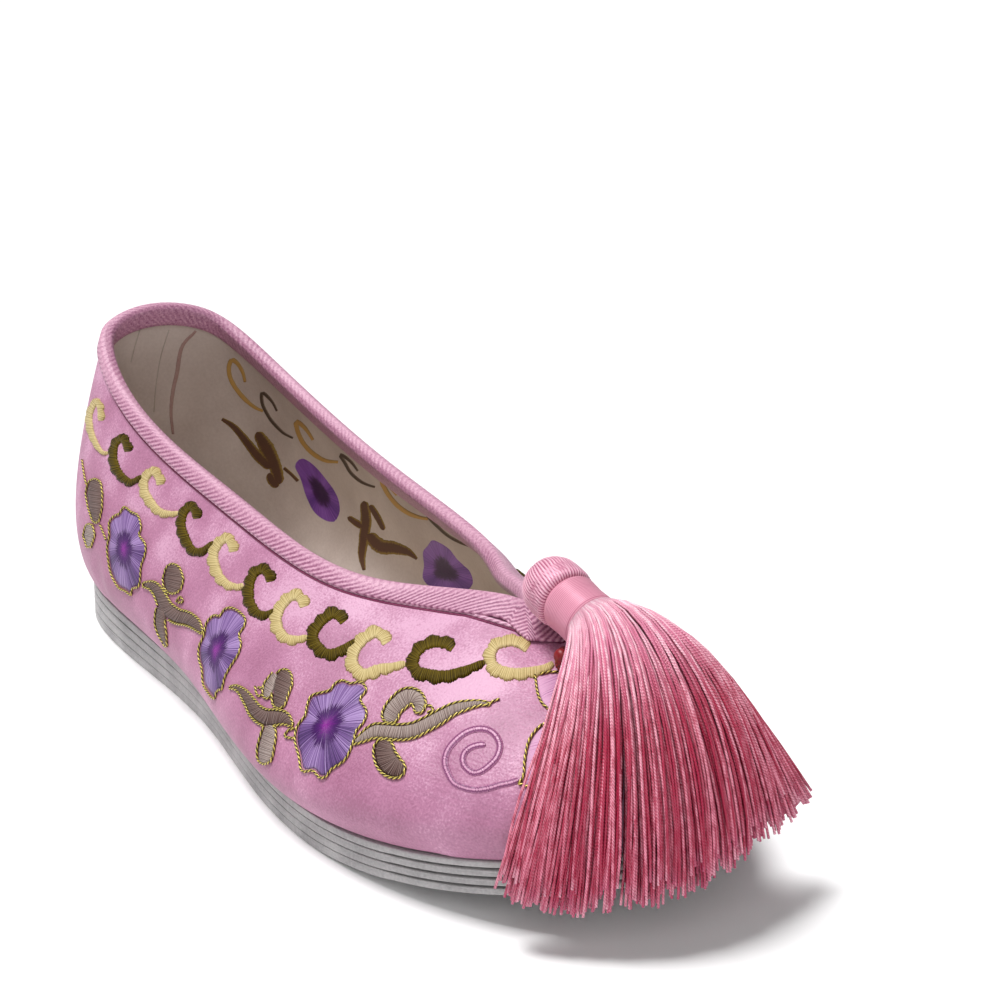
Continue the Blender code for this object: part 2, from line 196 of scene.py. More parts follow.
# Joined mesh of many thin cords with closed ends: each path is a list of points in metres
def cordMesh(name, paths, radius, sides, lobes=0.0, lay=1.0, taper=None, tones=None):
    verts, faces, uvs, falls, toneAndShadeRows = [], [], [], [], []
    first = 0
    for which, path in enumerate(paths):
        p = np.array(path, float)
        count = len(p)
        ahead = np.gradient(p, axis=0)
        ahead /= np.linalg.norm(ahead, axis=1)[:, None]
        run = np.concatenate([[0], np.cumsum(np.linalg.norm(np.diff(p, axis=0), axis=1))]) / mm
        side = np.cross(ahead[0], (0.31, 0.22, 0.92))
        angles = 2 * math.pi * np.arange(sides) / sides
        for i in range(count):  # carries one side direction along the cord
            side = side - ahead[i] * np.dot(side, ahead[i])
            side /= np.linalg.norm(side)
            swell = radius if taper is None else radius * taper(i / (count - 1))
            around = swell * (1 - lobes + lobes * np.abs(np.cos(angles - 2 * math.pi * run[i] / lay)))
            other = np.cross(ahead[i], side)
            turned = np.cos(angles)[:, None] * side + np.sin(angles)[:, None] * other
            verts.append(p[i] + around[:, None] * turned)
            falls.append(np.full(sides, i / (count - 1)))
        toneAndShadeRows.append(np.full(count * sides, tones[which] if tones else dice.random()))
        i, k = [g.ravel() for g in np.meshgrid(np.arange(count - 1), np.arange(sides), indexing="ij")]
        n = (k + 1) % sides
        quads = np.stack([i * sides + k, i * sides + n, (i + 1) * sides + n, (i + 1) * sides + k], axis=1)
        faces += (first + quads).tolist()
        faces.append(list(range(first + sides - 1, first - 1, -1)))
        faces.append(list(range(first + (count - 1) * sides, first + count * sides)))
        lengths, widths = (run[i], run[i + 1]), (k / sides, (k + 1) / sides)
        corner = [(lengths[a], widths[b]) for a, b in ((0, 0), (0, 1), (1, 1), (1, 0))]
        uvs.append(np.stack([np.stack(c, axis=1) for c in corner], axis=1).reshape(-1, 2))
        uvs.append(np.repeat([[0.0, 0.0], [run[-1], 0.0]], sides, axis=0))
        first += count * sides
    mesh = bpy.data.meshes.new(name)
    mesh.from_pydata(np.concatenate(verts).tolist(), [], faces)
    mesh.uv_layers.new(name="UVMap").data.foreach_set("uv", np.concatenate(uvs).ravel())
    mesh.attributes.new("fall", "FLOAT", "POINT").data.foreach_set("value", np.concatenate(falls))
    mesh.attributes.new("lot", "FLOAT", "POINT").data.foreach_set("value", np.concatenate(toneAndShadeRows))
    return mesh


# Satin: silk-look weave pressed flat, fine speckle with a soft broad sheen and slow shade changes; painted
# shade darkens it towards the sole and a painted highlight pales the top of the vamp
def makeSatin():
    material, tree = newMaterial("roseSatin", 0.54, {
        "Sheen Weight": 0.08, "Sheen Roughness": 0.35, "Sheen Tint": hexToLinear("#FFE6F4"),
        "Specular IOR Level": 0.85})
    coords = addNode(tree, "TexCoord", {}).outputs["Object"]
    slow = addNode(tree, "TexNoise", {"Vector": coords, "Scale": 1 / (16 * mm), "Detail": 2.0})
    # coarser than the real weave, which is too fine to show
    grain = addNode(tree, "TexNoise", {"Vector": coords, "Scale": 1 / (0.5 * mm), "Detail": 2.0})
    tone = addNode(tree, "Math", {0: grain, 1: 0.65, 2: slow}, operation="MULTIPLY_ADD")
    height = addNode(tree, "SeparateXYZ", {0: coords})
    paintedShadeLow = addNode(tree, "MapRange", {  # painted shade: a little darker down towards the sole
        "Value": height.outputs["Z"], "From Min": 6 * mm, "From Max": 42 * mm, "To Min": -0.22,
        "To Max": 0.0})
    paintedSheenVamp = addNode(tree, "MapRange", {  # painted highlight: paler over the top of the vamp
        "Value": height.outputs["Y"], "From Min": -20 * mm, "From Max": -60 * mm})
    high = addNode(tree, "MapRange", {
        "Value": height.outputs["Z"], "From Min": 28 * mm, "From Max": 44 * mm, "To Min": 0.0,
        "To Max": 0.13})
    lit = addNode(tree, "Math", {0: paintedSheenVamp, 1: high, 2: paintedShadeLow}, operation="MULTIPLY_ADD")
    toned = addNode(tree, "Math", {0: tone, 1: lit}, operation="ADD")
    shade = addNode(tree, "ValToRGB", {"Fac": toned},
                    stops=[(0.5, "#A16283"), (0.8, "#BA7B9D"), (1.0, "#D6A0BE")])
    level = addNode(tree, "Mapping", {"Vector": coords, "Scale": (0.1, 0.1, 1.0)})
    pulls = addNode(tree, "TexNoise", {"Vector": level, "Scale": 1 / (0.9 * mm), "Detail": 1.0})
    front = addNode(tree, "MapRange", {  # level ripples where the satin is drawn down to the toe
        "Value": height.outputs["Y"], "From Min": -60 * mm, "From Max": -84 * mm, "To Min": 0.0,
        "To Max": 0.28})
    ripple = addNode(tree, "Bump", {"Height": pulls, "Strength": front, "Distance": 0.6 * mm})
    bump = addNode(tree, "Bump", {"Height": grain, "Strength": 0.8, "Distance": 0.2 * mm, "Normal": ripple})
    return wireSurface(material, shade.outputs["Color"], bump)


# Lining: undyed plain-weave cotton, matt, a little fuzzy
def makeLining():
    material, tree = newMaterial("undyedCottonLining", 0.85, {"Sheen Weight": 0.1})
    coords = addNode(tree, "TexCoord", {}).outputs["Object"]
    weave = addNode(tree, "TexNoise", {"Vector": coords, "Scale": 1 / (0.8 * mm), "Detail": 2.0})
    blot = addNode(tree, "TexNoise", {"Vector": coords, "Scale": 1 / (18 * mm), "Detail": 3.0})
    tone = addNode(tree, "Math", {0: weave, 1: 0.4, 2: blot}, operation="MULTIPLY_ADD")
    shade = addNode(tree, "ValToRGB", {"Fac": tone}, stops=[(0.45, "#BFAEA5"), (0.95, "#D6C7BE")])
    bump = addNode(tree, "Bump", {"Height": weave, "Strength": 0.4, "Distance": 0.12 * mm})
    return wireSurface(material, shade.outputs["Color"], bump)


# Binding: bias-cut ribbed tape, ribs lie slantwise across it; the grooves between the ribs are painted darker
# as shade, fainter on the inner side, and the rolled top is painted lighter as a highlight
def makeTape():
    material, tree = newMaterial("ribbedBiasTape", 0.5, {
        "Sheen Weight": 0.1, "Sheen Tint": hexToLinear("#FFE6F4")})
    along, across = threadPlace(tree)
    slant = addNode(tree, "Math", {0: across, 1: 1.7, 2: along}, operation="MULTIPLY_ADD")
    phase = addNode(tree, "Math", {0: slant, 1: 2 * math.pi / 2.1}, operation="MULTIPLY")
    wave = addNode(tree, "Math", {0: phase}, operation="SINE")
    coords = addNode(tree, "TexCoord", {}).outputs["Object"]
    grain = addNode(tree, "TexNoise", {"Vector": coords, "Scale": 1 / (0.5 * mm), "Detail": 2.0})
    lower = addNode(tree, "MapRange", {  # ribs show below the rolled top
        "Value": across, "From Min": 1.0, "From Max": 3.0, "To Min": 0.1, "To Max": 0.34})
    # painted highlight: the rolled top of the tape lighter
    roll = addNode(tree, "MapRange", {
        "Value": across, "From Min": 0.4, "From Max": 2.4, "To Min": 0.3, "To Max": 0.0})
    grainAndRollHighlight = addNode(tree, "Math", {0: grain, 1: roll}, operation="ADD")
    inside = addNode(tree, "Attribute", {}, attribute_name="fall")
    shown = addNode(tree, "MapRange", {"Value": inside.outputs["Fac"], "To Min": 1.0, "To Max": 0.25})
    depth = addNode(tree, "Math", {0: lower, 1: shown}, operation="MULTIPLY")
    rib = addNode(tree, "Math", {0: wave, 1: depth, 2: grainAndRollHighlight}, operation="MULTIPLY_ADD")
    shade = addNode(tree, "ValToRGB", {"Fac": rib},
                    stops=[(0.15, "#8E4F70"), (0.5, "#BA7F9C"), (0.9, "#DDABC1")])
    bump = addNode(tree, "Bump", {"Height": rib, "Strength": 0.7, "Distance": 0.2 * mm})
    return wireSurface(material, shade.outputs["Color"], bump)


# Sole and insole: starched cotton cloth, matt, plain weave with grey soil
def makeCotton(name, dark, light, thread):
    material, tree = newMaterial(name, 0.88, {"Sheen Weight": 0.15})
    coords = addNode(tree, "TexCoord", {}).outputs["Object"]
    weave = addNode(tree, "TexNoise", {"Vector": coords, "Scale": 1 / (thread * mm), "Detail": 2.0})
    soil = addNode(tree, "TexNoise", {"Vector": coords, "Scale": 1 / (9 * mm), "Detail": 4.0})
    tone = addNode(tree, "Math", {0: weave, 1: 0.6, 2: soil}, operation="MULTIPLY_ADD")
    shade = addNode(tree, "ValToRGB", {"Fac": tone}, stops=[(0.5, dark), (1.0, light)])
    bump = addNode(tree, "Bump", {"Height": tone, "Strength": 0.5, "Distance": 0.2 * mm})
    return wireSurface(material, shade.outputs["Color"], bump)


# Floss: untwisted embroidery silk laid side by side across the shape, glossy along the threads
def makeFloss(name, dark, middle, light, pitch, slant):
    material, tree = newMaterial(name, 0.45, {"Specular IOR Level": 0.3, "Specular Tint": hexToLinear(light)})
    along, across = threadPlace(tree)
    slanted = addNode(tree, "Math", {0: across, 1: slant, 2: along}, operation="MULTIPLY_ADD")
    threads = addNode(tree, "TexNoise", {"W": slanted, "Scale": 1 / pitch, "Detail": 1.0},
                      noise_dimensions="1D")
    tone = addNode(tree, "Math", {0: across, 1: -0.08, 2: threads},  # painted highlight: inner edge lighter
                   operation="MULTIPLY_ADD")
    shade = addNode(tree, "ValToRGB", {"Fac": tone}, stops=[(0.34, dark), (0.5, middle), (0.66, light)])
    bump = addNode(tree, "Bump", {"Height": threads, "Strength": 0.5, "Distance": 0.12 * mm})
    return wireSurface(material, shade.outputs["Color"], bump)


# Petals: long-and-short stitch, a jagged violet eye with a magenta heart, lavender out to pale tips
def makePetals(name, eye, petal):
    material, tree = newMaterial(name, 0.45, {"Specular IOR Level": 0.35})
    along, across = threadPlace(tree)
    threads = addNode(tree, "TexNoise", {"W": along, "Scale": 150.0, "Detail": 2.0}, noise_dimensions="1D")
    lobes = addNode(tree, "TexNoise", {"W": along, "Scale": 8.0, "Detail": 0.0}, noise_dimensions="1D")
    ragged = addNode(tree, "Math", {0: threads, 1: 0.6, 2: across}, operation="MULTIPLY_ADD")
    broad = addNode(tree, "Math", {0: lobes, 1: 0.4}, operation="MULTIPLY")
    tinted = addNode(tree, "Math", {0: threads, 1: 0.6, 2: broad}, operation="MULTIPLY_ADD")
    petals = addNode(tree, "ValToRGB", {"Fac": tinted},
                     stops=[(0.36, petal[0]), (0.49, petal[1]), (0.64, petal[2])])
    heart = addNode(tree, "ValToRGB", {"Fac": ragged}, stops=[(0.34, eye[0]), (0.5, eye[1]), (0.7, eye[2])])
    edge = addNode(tree, "MapRange", {"Value": ragged, "From Min": 0.74, "From Max": 0.79})
    shade = addNode(tree, "Mix", {0: edge, 6: heart, 7: petals}, data_type="RGBA")
    bump = addNode(tree, "Bump", {"Height": threads, "Strength": 0.5, "Distance": 0.15 * mm})
    return wireSurface(material, shade.outputs[2], bump)


# Cords: twisted silk or metal-wrapped thread, stripes of the ply wind round it, the furrows between the plies
# painted dark as shade
def makeCord(name, dark, light, lay, roughness, settings):
    material, tree = newMaterial(name, roughness, settings)
    along, across = threadPlace(tree)
    turns = addNode(tree, "Math", {0: along, 1: 1 / lay, 2: across}, operation="MULTIPLY_ADD")
    phase = addNode(tree, "Math", {0: turns, 1: 4 * math.pi}, operation="MULTIPLY")
    wave = addNode(tree, "Math", {0: phase}, operation="SINE")
    height = addNode(tree, "Math", {0: wave, 1: 0.5, 2: 0.5}, operation="MULTIPLY_ADD")
    shade = addNode(tree, "ValToRGB", {"Fac": height}, stops=[(0.3, dark), (0.75, light)])
    bump = addNode(tree, "Bump", {"Height": height, "Strength": 0.7, "Distance": 0.15 * mm})
    return wireSurface(material, shade.outputs["Color"], bump)


# Reverse of the stitches: loose brown threads, dull gold along the edges where the outline comes through
def makeReverse(name, core, edge):
    material, tree = newMaterial(name, 0.7, {"Specular IOR Level": 0.15})
    along, across = threadPlace(tree)
    out = addNode(tree, "Math", {0: across}, operation="ABSOLUTE")
    threads = addNode(tree, "TexNoise", {"W": along, "Scale": 1 / 0.3, "Detail": 2.0}, noise_dimensions="1D")
    place = addNode(tree, "Math", {0: threads, 1: 0.5, 2: out}, operation="MULTIPLY_ADD")
    shade = addNode(tree, "ValToRGB", {"Fac": place}, stops=[(0.2, core), (0.75, core), (1.0, edge)])
    return wireSurface(material, shade.outputs["Color"])


# Couched line: a cord in the ground's pink with darker sewn edges
def makeCouching():
    material, tree = newMaterial("couchedRoseCord", 0.42, {"Specular IOR Level": 0.6})
    along, across = threadPlace(tree)
    out = addNode(tree, "Math", {0: across}, operation="ABSOLUTE")
    wraps = addNode(tree, "TexNoise", {"W": along, "Scale": 1 / 0.3, "Detail": 1.0}, noise_dimensions="1D")
    place = addNode(tree, "Math", {0: wraps, 1: 0.45, 2: out}, operation="MULTIPLY_ADD")
    shade = addNode(tree, "ValToRGB", {"Fac": place},
                    stops=[(0.2, "#DDA9C5"), (0.42, "#C485A9"), (0.58, "#6E2E5C"), (0.8, "#8A4676"),
                           (1.0, "#B4769A")])
    bump = addNode(tree, "Bump", {"Height": wraps, "Strength": 0.9, "Distance": 0.2 * mm})
    return wireSurface(material, shade.outputs["Color"], bump)


# Tassel silk: glossy two-ply cord, pale plies over crimson furrows painted as shade, with painted glints
# along the cords; paler at the band and at the cut ends
def makeTasselSilk():
    material, tree = newMaterial("twistedTasselSilk", 0.26, {
        "Specular IOR Level": 0.6, "Specular Tint": hexToLinear("#FFD0DE")})
    along, across = threadPlace(tree)
    lot = addNode(tree, "Attribute", {}, attribute_name="lot")
    turns = addNode(tree, "Math", {0: along, 1: 1 / 1.3, 2: across}, operation="MULTIPLY_ADD")
    apart = addNode(tree, "Math", {0: lot.outputs["Fac"], 1: 61.0},  # no two cords alike
                    operation="MULTIPLY")
    phase = addNode(tree, "Math", {0: turns, 1: 4 * math.pi, 2: apart}, operation="MULTIPLY_ADD")
    # painted highlight: glints that come and go along each cord
    way = addNode(tree, "Math", {0: along, 1: 0.3, 2: apart}, operation="MULTIPLY_ADD")
    glintStreaks = addNode(tree, "TexNoise", {"W": way, "Scale": 1.0, "Detail": 1.0}, noise_dimensions="1D")
    glint = addNode(tree, "MapRange", {
        "Value": glintStreaks, "From Min": 0.3, "From Max": 0.7, "To Min": 0.5, "To Max": 1.4})
    wave = addNode(tree, "Math", {0: phase}, operation="SINE")
    height = addNode(tree, "Math", {0: wave, 1: 0.5, 2: 0.5}, operation="MULTIPLY_ADD")
    fall = addNode(tree, "Attribute", {}, attribute_name="fall")
    pale = addNode(tree, "ValToRGB", {"Fac": fall.outputs["Fac"]},
                   stops=[(0.0, "#FFE4ED"), (0.3, "#FFD2DF"), (0.6, "#FFB0C4"), (0.95, "#F590AA"),
                          (1.0, "#F6B4C6")])
    deep = addNode(tree, "ValToRGB", {"Fac": fall.outputs["Fac"]},
                   stops=[(0.0, "#EBB0C4"), (0.3, "#DA7899"), (0.6, "#B0143F"), (0.95, "#A8123C"),
                          (1.0, "#C04C70")])
    shine = addNode(tree, "Math", {0: height, 1: 0.6, 2: 0.4}, operation="MULTIPLY_ADD")
    plies = addNode(tree, "Math", {0: shine, 1: lot.outputs["Fac"]}, operation="MULTIPLY")
    lift = addNode(tree, "Math", {0: plies, 1: glint}, operation="MULTIPLY")
    mixed = addNode(tree, "Mix", {0: lift, 6: deep, 7: pale}, data_type="RGBA")
    bump = addNode(tree, "Bump", {"Height": height, "Strength": 0.6, "Distance": 0.15 * mm})
    return wireSurface(material, mixed.outputs[2], bump)


# Wound silk: threads laid close over the tassel's head or round its band, darker in the furrows between them
# as painted shade
def makeWoundSilk(name, stops):
    material, tree = newMaterial(name, 0.36, {
        "Specular IOR Level": 0.45, "Specular Tint": hexToLinear("#FFD0DE")})
    fall = addNode(tree, "Attribute", {}, attribute_name="fall")
    shade = addNode(tree, "ValToRGB", {"Fac": fall.outputs["Fac"]}, stops=stops)
    return wireSurface(material, shade.outputs["Color"])


satin = makeSatin()
lining = makeLining()
tape = makeTape()
soleCotton = makeCotton("starchedSoleCotton", "#949293", "#BCBABA", 0.7)
insoleCotton = makeCotton("brushedInsoleCotton", "#C6BAA6", "#E2D8C6", 0.6)
yellowFloss = makeFloss("paleYellowFloss", "#937B45", "#C4B07C", "#DDCB98", 0.2, 0.3)
oliveFloss = makeFloss("oliveFloss", "#1E1502", "#46380A", "#74621E", 0.2, 0.3)
paleLeafFloss = makeFloss("paleTaupeFloss", "#4E3A36", "#8E7C76", "#B8A9A2", 0.2, 0.5)
darkLeafFloss = makeFloss("darkTaupeFloss", "#34201F", "#644E4A", "#8A7670", 0.2, 0.5)
pinkFloss = makeFloss("roseFloss", "#A8709A", "#C08AAE", "#D3A3C2", 0.3, 0.4)
petalFloss = makePetals("lavenderFloss", ("#8A2092", "#4A0C66", "#380850"), ("#432A5C", "#704E8A", "#A88ABE"))
goldCord = makeCord("giltTwistCord", "#3A240A", "#DCC964", 2.6, 0.34, {"Metallic": 0.3})
couchedCord = makeCouching()
redCord = makeCord("crimsonSilkCord", "#6A0810", "#9E1018", 1.4, 0.45, {})
tapeThread = makeCord("roseWeltCord", "#BC849F", "#E2B4CA", 3.4, 0.5, {})
# dark cord on the satin that paints the shadow under the tape's lower edge
shadowLineCord = makeCotton("paintedShadowLine", "#6A1C44", "#8A345C", 0.6)
tasselSilk = makeTasselSilk()
headSilk = makeWoundSilk("laidHeadSilk", [
    (0.0, "#6E2844"), (0.35, "#B0607E"), (0.75, "#E2A2B9"), (1.0, "#F4CCDA")])
bandSilk = makeWoundSilk("woundBandSilk", [(0.3, "#A3506E"), (0.6, "#CF8099"), (1.0, "#E6A9BC")])
reverseOchre = makeReverse("ochreReverse", "#C49A58", "#AE8F62")
reverseSlate = makeReverse("slateReverse", "#5A4A3E", "#8A7A6C")
reverseBrown = makeReverse("umberReverse", "#644636", "#94793E")
reversePetals = makePetals(
    "plumReverse", ("#3C0C4A", "#320842", "#421452"), ("#5E3084", "#7C46A4", "#965EBC"))
seamTape = makeCotton("madderSeamEdge", "#A07C76", "#B4948C", 0.6)
basting = makeCotton("taupeBasting", "#B0A196", "#C2B5AA", 0.6)
print("materials ready")


# Soft creases of the satin: pixels in the photograph, width and depth in millimetres
creases = [
    ([(392, 800), (430, 808), (470, 810), (512, 806)], 2.6, 0.30),
    ([(404, 787), (436, 797), (470, 800)], 2.2, 0.22),
    ([(420, 822), (462, 826), (508, 822)], 3.0, 0.25),
    ([(446, 720), (438, 740), (437, 765), (444, 785)], 2.4, 0.22),
    ([(112, 610), (100, 580), (94, 552)], 3.5, 0.35),
    ([(300, 655), (286, 668), (262, 668)], 3.0, 0.22),
]


# Line along the middle of the shoe, which the lining and the tape's inner side face
middleLine = {"toe": -45 * mm, "heel": 85 * mm, "height": 30 * mm, "below": 10 * mm}


def onMiddle(y, z):
    return Vector((0, min(max(y, middleLine["toe"]), middleLine["heel"]), z))


def outward(place):
    return (place - onMiddle(place.y, place.z - middleLine["below"])).normalized()


# Upper: outer satin and lining on one smooth shell
def buildUpper():
    mesh = refinedCopy("upper", 2, 55, 0.75)
    tree = treeOf(mesh)
    normals = [v.normal.copy() for v in mesh.vertices]
    for pixels, width, depth in creases:
        line = []
        for x, y in smoothLine(pixels, 24):
            spot = tree.ray_cast(viewPlace, pixelRay(x, y))[0]
            if spot:
                line.append(spot)
        if not line:
            continue
        dips = np.array(line)
        fade = np.minimum(np.linspace(0, 6, len(line)), np.linspace(6, 0, len(line))).clip(0, 1)
        for v, normal in zip(mesh.vertices, normals):
            away = np.linalg.norm(dips - np.array(v.co), axis=1) / (width * mm)
            k = int(away.argmin())
            if away[k] < 3:  # a dip between two low swells
                push = math.exp(-away[k] ** 2) - 0.4 * math.exp(-((away[k] - 1.6) / 0.7) ** 2)
                v.co -= normal * push * depth * mm * fade[k]
    piece = addPiece("upper_satin", mesh, [satin, lining], ["upper"])
    for face in mesh.polygons:
        if face.normal.dot(onMiddle(face.center.y, middleLine["height"]) - face.center) > 0:
            face.material_index = 1
    return piece


upperPiece = buildUpper()
upperTree = treeOf(upperPiece.data)
print("upper ready")


# Collar's ridge, as shares of the length and of the ball width, heel to throat
collar = {
    "length": 245.0, "ballWidth": 85.0, "low": 47.2, "high": 80.6,
    "rows": [(0.003, 0.000, 1.00), (0.011, 0.158, 0.93), (0.040, 0.230, 0.80), (0.122, 0.275, 0.55),
             (0.375, 0.267, 0.17), (0.590, 0.221, 0.00), (0.682, 0.108, 0.04), (0.746, 0.042, 0.11),
             (0.765, 0.012, 0.10), (0.769, 0.000, 0.09)],
}


def collarRidge():
    def place(row, side):
        along, half, rise = row
        return (side * half * collar["ballWidth"], (0.5 - along) * collar["length"],
                collar["low"] + rise * (collar["high"] - collar["low"]))
    rows = collar["rows"]
    loop = [place(r, -1) for r in rows] + [place(r, 1) for r in rows[-2:0:-1]]
    return smoothLine(loop, 800, closed=True)


def buildBinding():
    mesh = refinedCopy("collar_binding", 2, 32, 0.6)
    ridge = collarRidge()
    closed = np.vstack([ridge, ridge[:1]])
    run = np.concatenate([[0], np.cumsum(np.linalg.norm(np.diff(closed, axis=0), axis=1))])
    ahead = np.roll(ridge, -1, axis=0) - np.roll(ridge, 1, axis=0)
    ahead /= np.linalg.norm(ahead, axis=1)[:, None]
    spots = np.array([v.co for v in mesh.vertices]) / mm
    gap = np.linalg.norm(spots[:, None, :] - ridge[None, :, :], axis=2)
    near = gap.argmin(axis=1)
    reach = gap.min(axis=1)
    along = run[near] + ((spots - ridge[near]) * ahead[near]).sum(axis=1)
    uvLayer = mesh.uv_layers.new(name="UVMap")
    for face in mesh.polygons:
        places = [along[i] for i in face.vertices]
        top = max(places)
        for loop, vertex, place in zip(face.loop_indices, face.vertices, places):
            if top - place > run[-1] / 2:  # keeps a face that spans the loop's start in one piece
                place += run[-1]
            uvLayer.data[loop].uv = (place, reach[vertex])
    inner = [min(max(-2 * v.normal.dot(outward(v.co)), 0), 1) for v in mesh.vertices]
    mesh.attributes.new("fall", "FLOAT", "POINT").data.foreach_set("value", inner)
    sewTapeEdge(mesh, along, reach, run[-1])
    return addPiece("binding_tape", mesh, [tape], ["collar_binding"])


# Twisted welt sewn along the tape's lower edge, and under it on the satin a dark cord that paints the shadow
# below the tape's edge; millimetres
stitching = {
    "stretches": 180,           # of the collar, each with its own lowest place of the tape
    "outside": 8.0,             # how far out the rays start
    "inset": 0.1, "weltDrop": 0.15, "weltLift": 0.2, "weltRadius": 0.52, "weltLay": 3.4,
    "seamDrop": 1.0, "seamLift": 0.06, "shadowLineRadius": 0.24,
}


def onSatin(place, drop):
    out = outward(place)
    start = place + out * stitching["outside"] * mm - Vector((0, 0, drop * mm))
    return upperTree.ray_cast(start, -out)[:2]


def sewTapeEdge(tapeMesh, along, reach, total):
    stretches = stitching["stretches"]
    lowest = [None] * stretches
    for v in tapeMesh.vertices:
        k = int(along[v.index] / total * stretches) % stretches
        if v.normal.dot(outward(v.co)) > 0.2 and (lowest[k] is None or reach[v.index] > reach[lowest[k]]):
            spot, normal = onSatin(v.co, 0)
            if not spot or (v.co - spot).dot(normal) > -0.05 * mm:  # shows above the satin
                lowest[k] = v.index
    ridge = collarRidge()
    line = []
    for k, index in enumerate(lowest):
        if index is not None:
            low = Vector(tapeMesh.vertices[index].co)
            top = Vector(ridge[int((k + 0.5) / stretches * len(ridge))]) * mm
            line.append(low + (top - low).normalized() * stitching["inset"] * mm)
    line = sum(np.roll(np.array(line), k, axis=0) for k in range(-2, 3)) / 5
    welt, seam = [], []
    for place in smoothLine(line, 600, closed=True):
        for kind, run in (("welt", welt), ("seam", seam)):
            spot, normal = onSatin(Vector(place), stitching[kind + "Drop"])
            if spot:
                run.append(spot + normal * stitching[kind + "Lift"] * mm)
    welt = smoothLine(welt, 1000, closed=True).tolist()
    mesh = cordMesh("binding_welt", [welt + welt[:1]], stitching["weltRadius"] * mm, 8, lobes=0.15,
                    lay=stitching["weltLay"])
    addPiece("binding_welt", mesh, [tapeThread])
    # painted shadow: a dark cord on the satin just under the tape's edge
    mesh = cordMesh("binding_shadow_line", [seam + seam[:1]], stitching["shadowLineRadius"] * mm, 6)
    addPiece("binding_shadow_line", mesh, [shadowLineCord])


# Sole's layers, pressed, and the paste cloth between them; millimetres
soleEdge = {
    "layers": 4, "upright": 0.15,  # normals with less rise than this belong to the edge
    "pressed": 3.0,             # how far in a layer is pressed
    "roll": ((-105, 0.4), (-60, 0.1)),  # place along the shoe, share of the rolled edge that stays
    "plyRadius": 0.26, "plyInset": 0.3, "plyRise": 0.05, "topInset": 1.4,
    "hardAngle": math.radians(40),
}


# How far out a layer's edge lies at each angle
def rimReach(mesh, wanted):
    rim = np.array([v.co for v in mesh.vertices if abs(v.normal.z) < soleEdge["upright"]])
    angles, reach = np.arctan2(rim[:, 1], rim[:, 0]), np.hypot(rim[:, 0], rim[:, 1])
    order = np.argsort(angles)
    return np.interp(wanted, angles[order], reach[order], period=2 * math.pi)


# Presses a layer's rolled edge out towards its outline; it stays rounder at the toe
def pressedLayer(node):
    mesh = refinedCopy(node, 2, 30, 1.0)
    spots = np.array([v.co for v in mesh.vertices])
    reach = np.hypot(spots[:, 0], spots[:, 1])
    inset = (rimReach(mesh, np.arctan2(spots[:, 1], spots[:, 0])) - reach) / mm
    keep = np.interp(spots[:, 1] / mm, *zip(*soleEdge["roll"]))
    deep = soleEdge["pressed"]
    pressed = np.where(inset < 1, keep * inset, keep + (inset - 1) * (deep - keep) / (deep - 1))
    pressed = np.where((inset > 0) & (inset < deep), pressed, inset)
    for v, old, new in zip(mesh.vertices, inset, pressed):
        out = Vector((v.co.x, v.co.y, 0)).normalized()
        v.co += out * float(old - new) * mm
    return mesh


# Edge of the paste cloth that shows between two layers
def plyEdge(mesh):
    tree = treeOf(mesh)
    angles = np.linspace(-math.pi, math.pi, 420)
    run = []
    for angle, edge in zip(angles, rimReach(mesh, angles)):
        way = Vector((math.cos(angle), math.sin(angle), 0))
        above = way * float(edge - soleEdge["topInset"] * mm) + Vector((0, 0, 0.1))
        top = tree.ray_cast(above, Vector((0, 0, -1)))[0]
        place = way * float(edge - soleEdge["plyInset"] * mm)
        run.append(place + Vector((0, 0, top.z + soleEdge["plyRise"] * mm)))
    return run


def buildSole():
    plyRuns = []
    for number in range(1, soleEdge["layers"] + 1):
        node = "sole_layer_%d" % number
        layer = addPiece("sole_cloth_%d" % number, pressedLayer(node), [soleCotton], [node])
        layer.data.set_sharp_from_angle(angle=soleEdge["hardAngle"])
        if number < soleEdge["layers"]:
            plyRuns.append(plyEdge(layer.data))
    mesh = cordMesh("sole_ply_edges", plyRuns, soleEdge["plyRadius"] * mm, 8)
    addPiece("sole_ply_edges", mesh, [soleCotton])


buildBinding()
buildSole()
addPiece("insole_cloth", refinedCopy("insole", 2, 70, 0.4), [insoleCotton], ["insole"])
addPiece("tie_cord", refinedCopy("tassel_tie", 2, 80, 0.0), [redCord], ["tassel_tie"])
print("binding, sole and tie ready")


# Tassel, on an axis that slopes down towards the toe; the same route as the solids it stands for
tassel = {
    "headCentre": (0.0, -76.5, 56.8), "slope": math.radians(14),
    "headRadius": 6.7, "barrel": 4.4, "bandRadius": 6.3, "bandLength": 9.4, "gap": 0.3,
    "neckRadius": 6.0, "spring": 20.0, "fallHandle": 26.0, "leave": (0.5, 0.75, 0.6),
    # turn in degrees, reach, tip height, hang, swell
    "fans": [(-62, 38.0, 9.8, 0.75, 5.0), (-40, 37.0, 8.4, 0.80, 3.0), (-6, 38.0, 11.4, 0.95, 1.0),
             (24, 39.5, 17.0, 0.75, 0.0), (52, 45.5, 19.0, 0.25, 0.0)],
    "headThreads": 60, "bandWraps": 22,
    "cords": 900, "ranks": 6,   # cords in all, and how deep they lie over one another
    "yarn": 0.56,               # cord's diameter
}
axisAhead = Vector((0, -math.cos(tassel["slope"]), -math.sin(tassel["slope"])))
axisUp = Vector((0, -math.sin(tassel["slope"]), math.cos(tassel["slope"])))
axisSide = Vector((1, 0, 0))
headCentre = Vector(tassel["headCentre"])
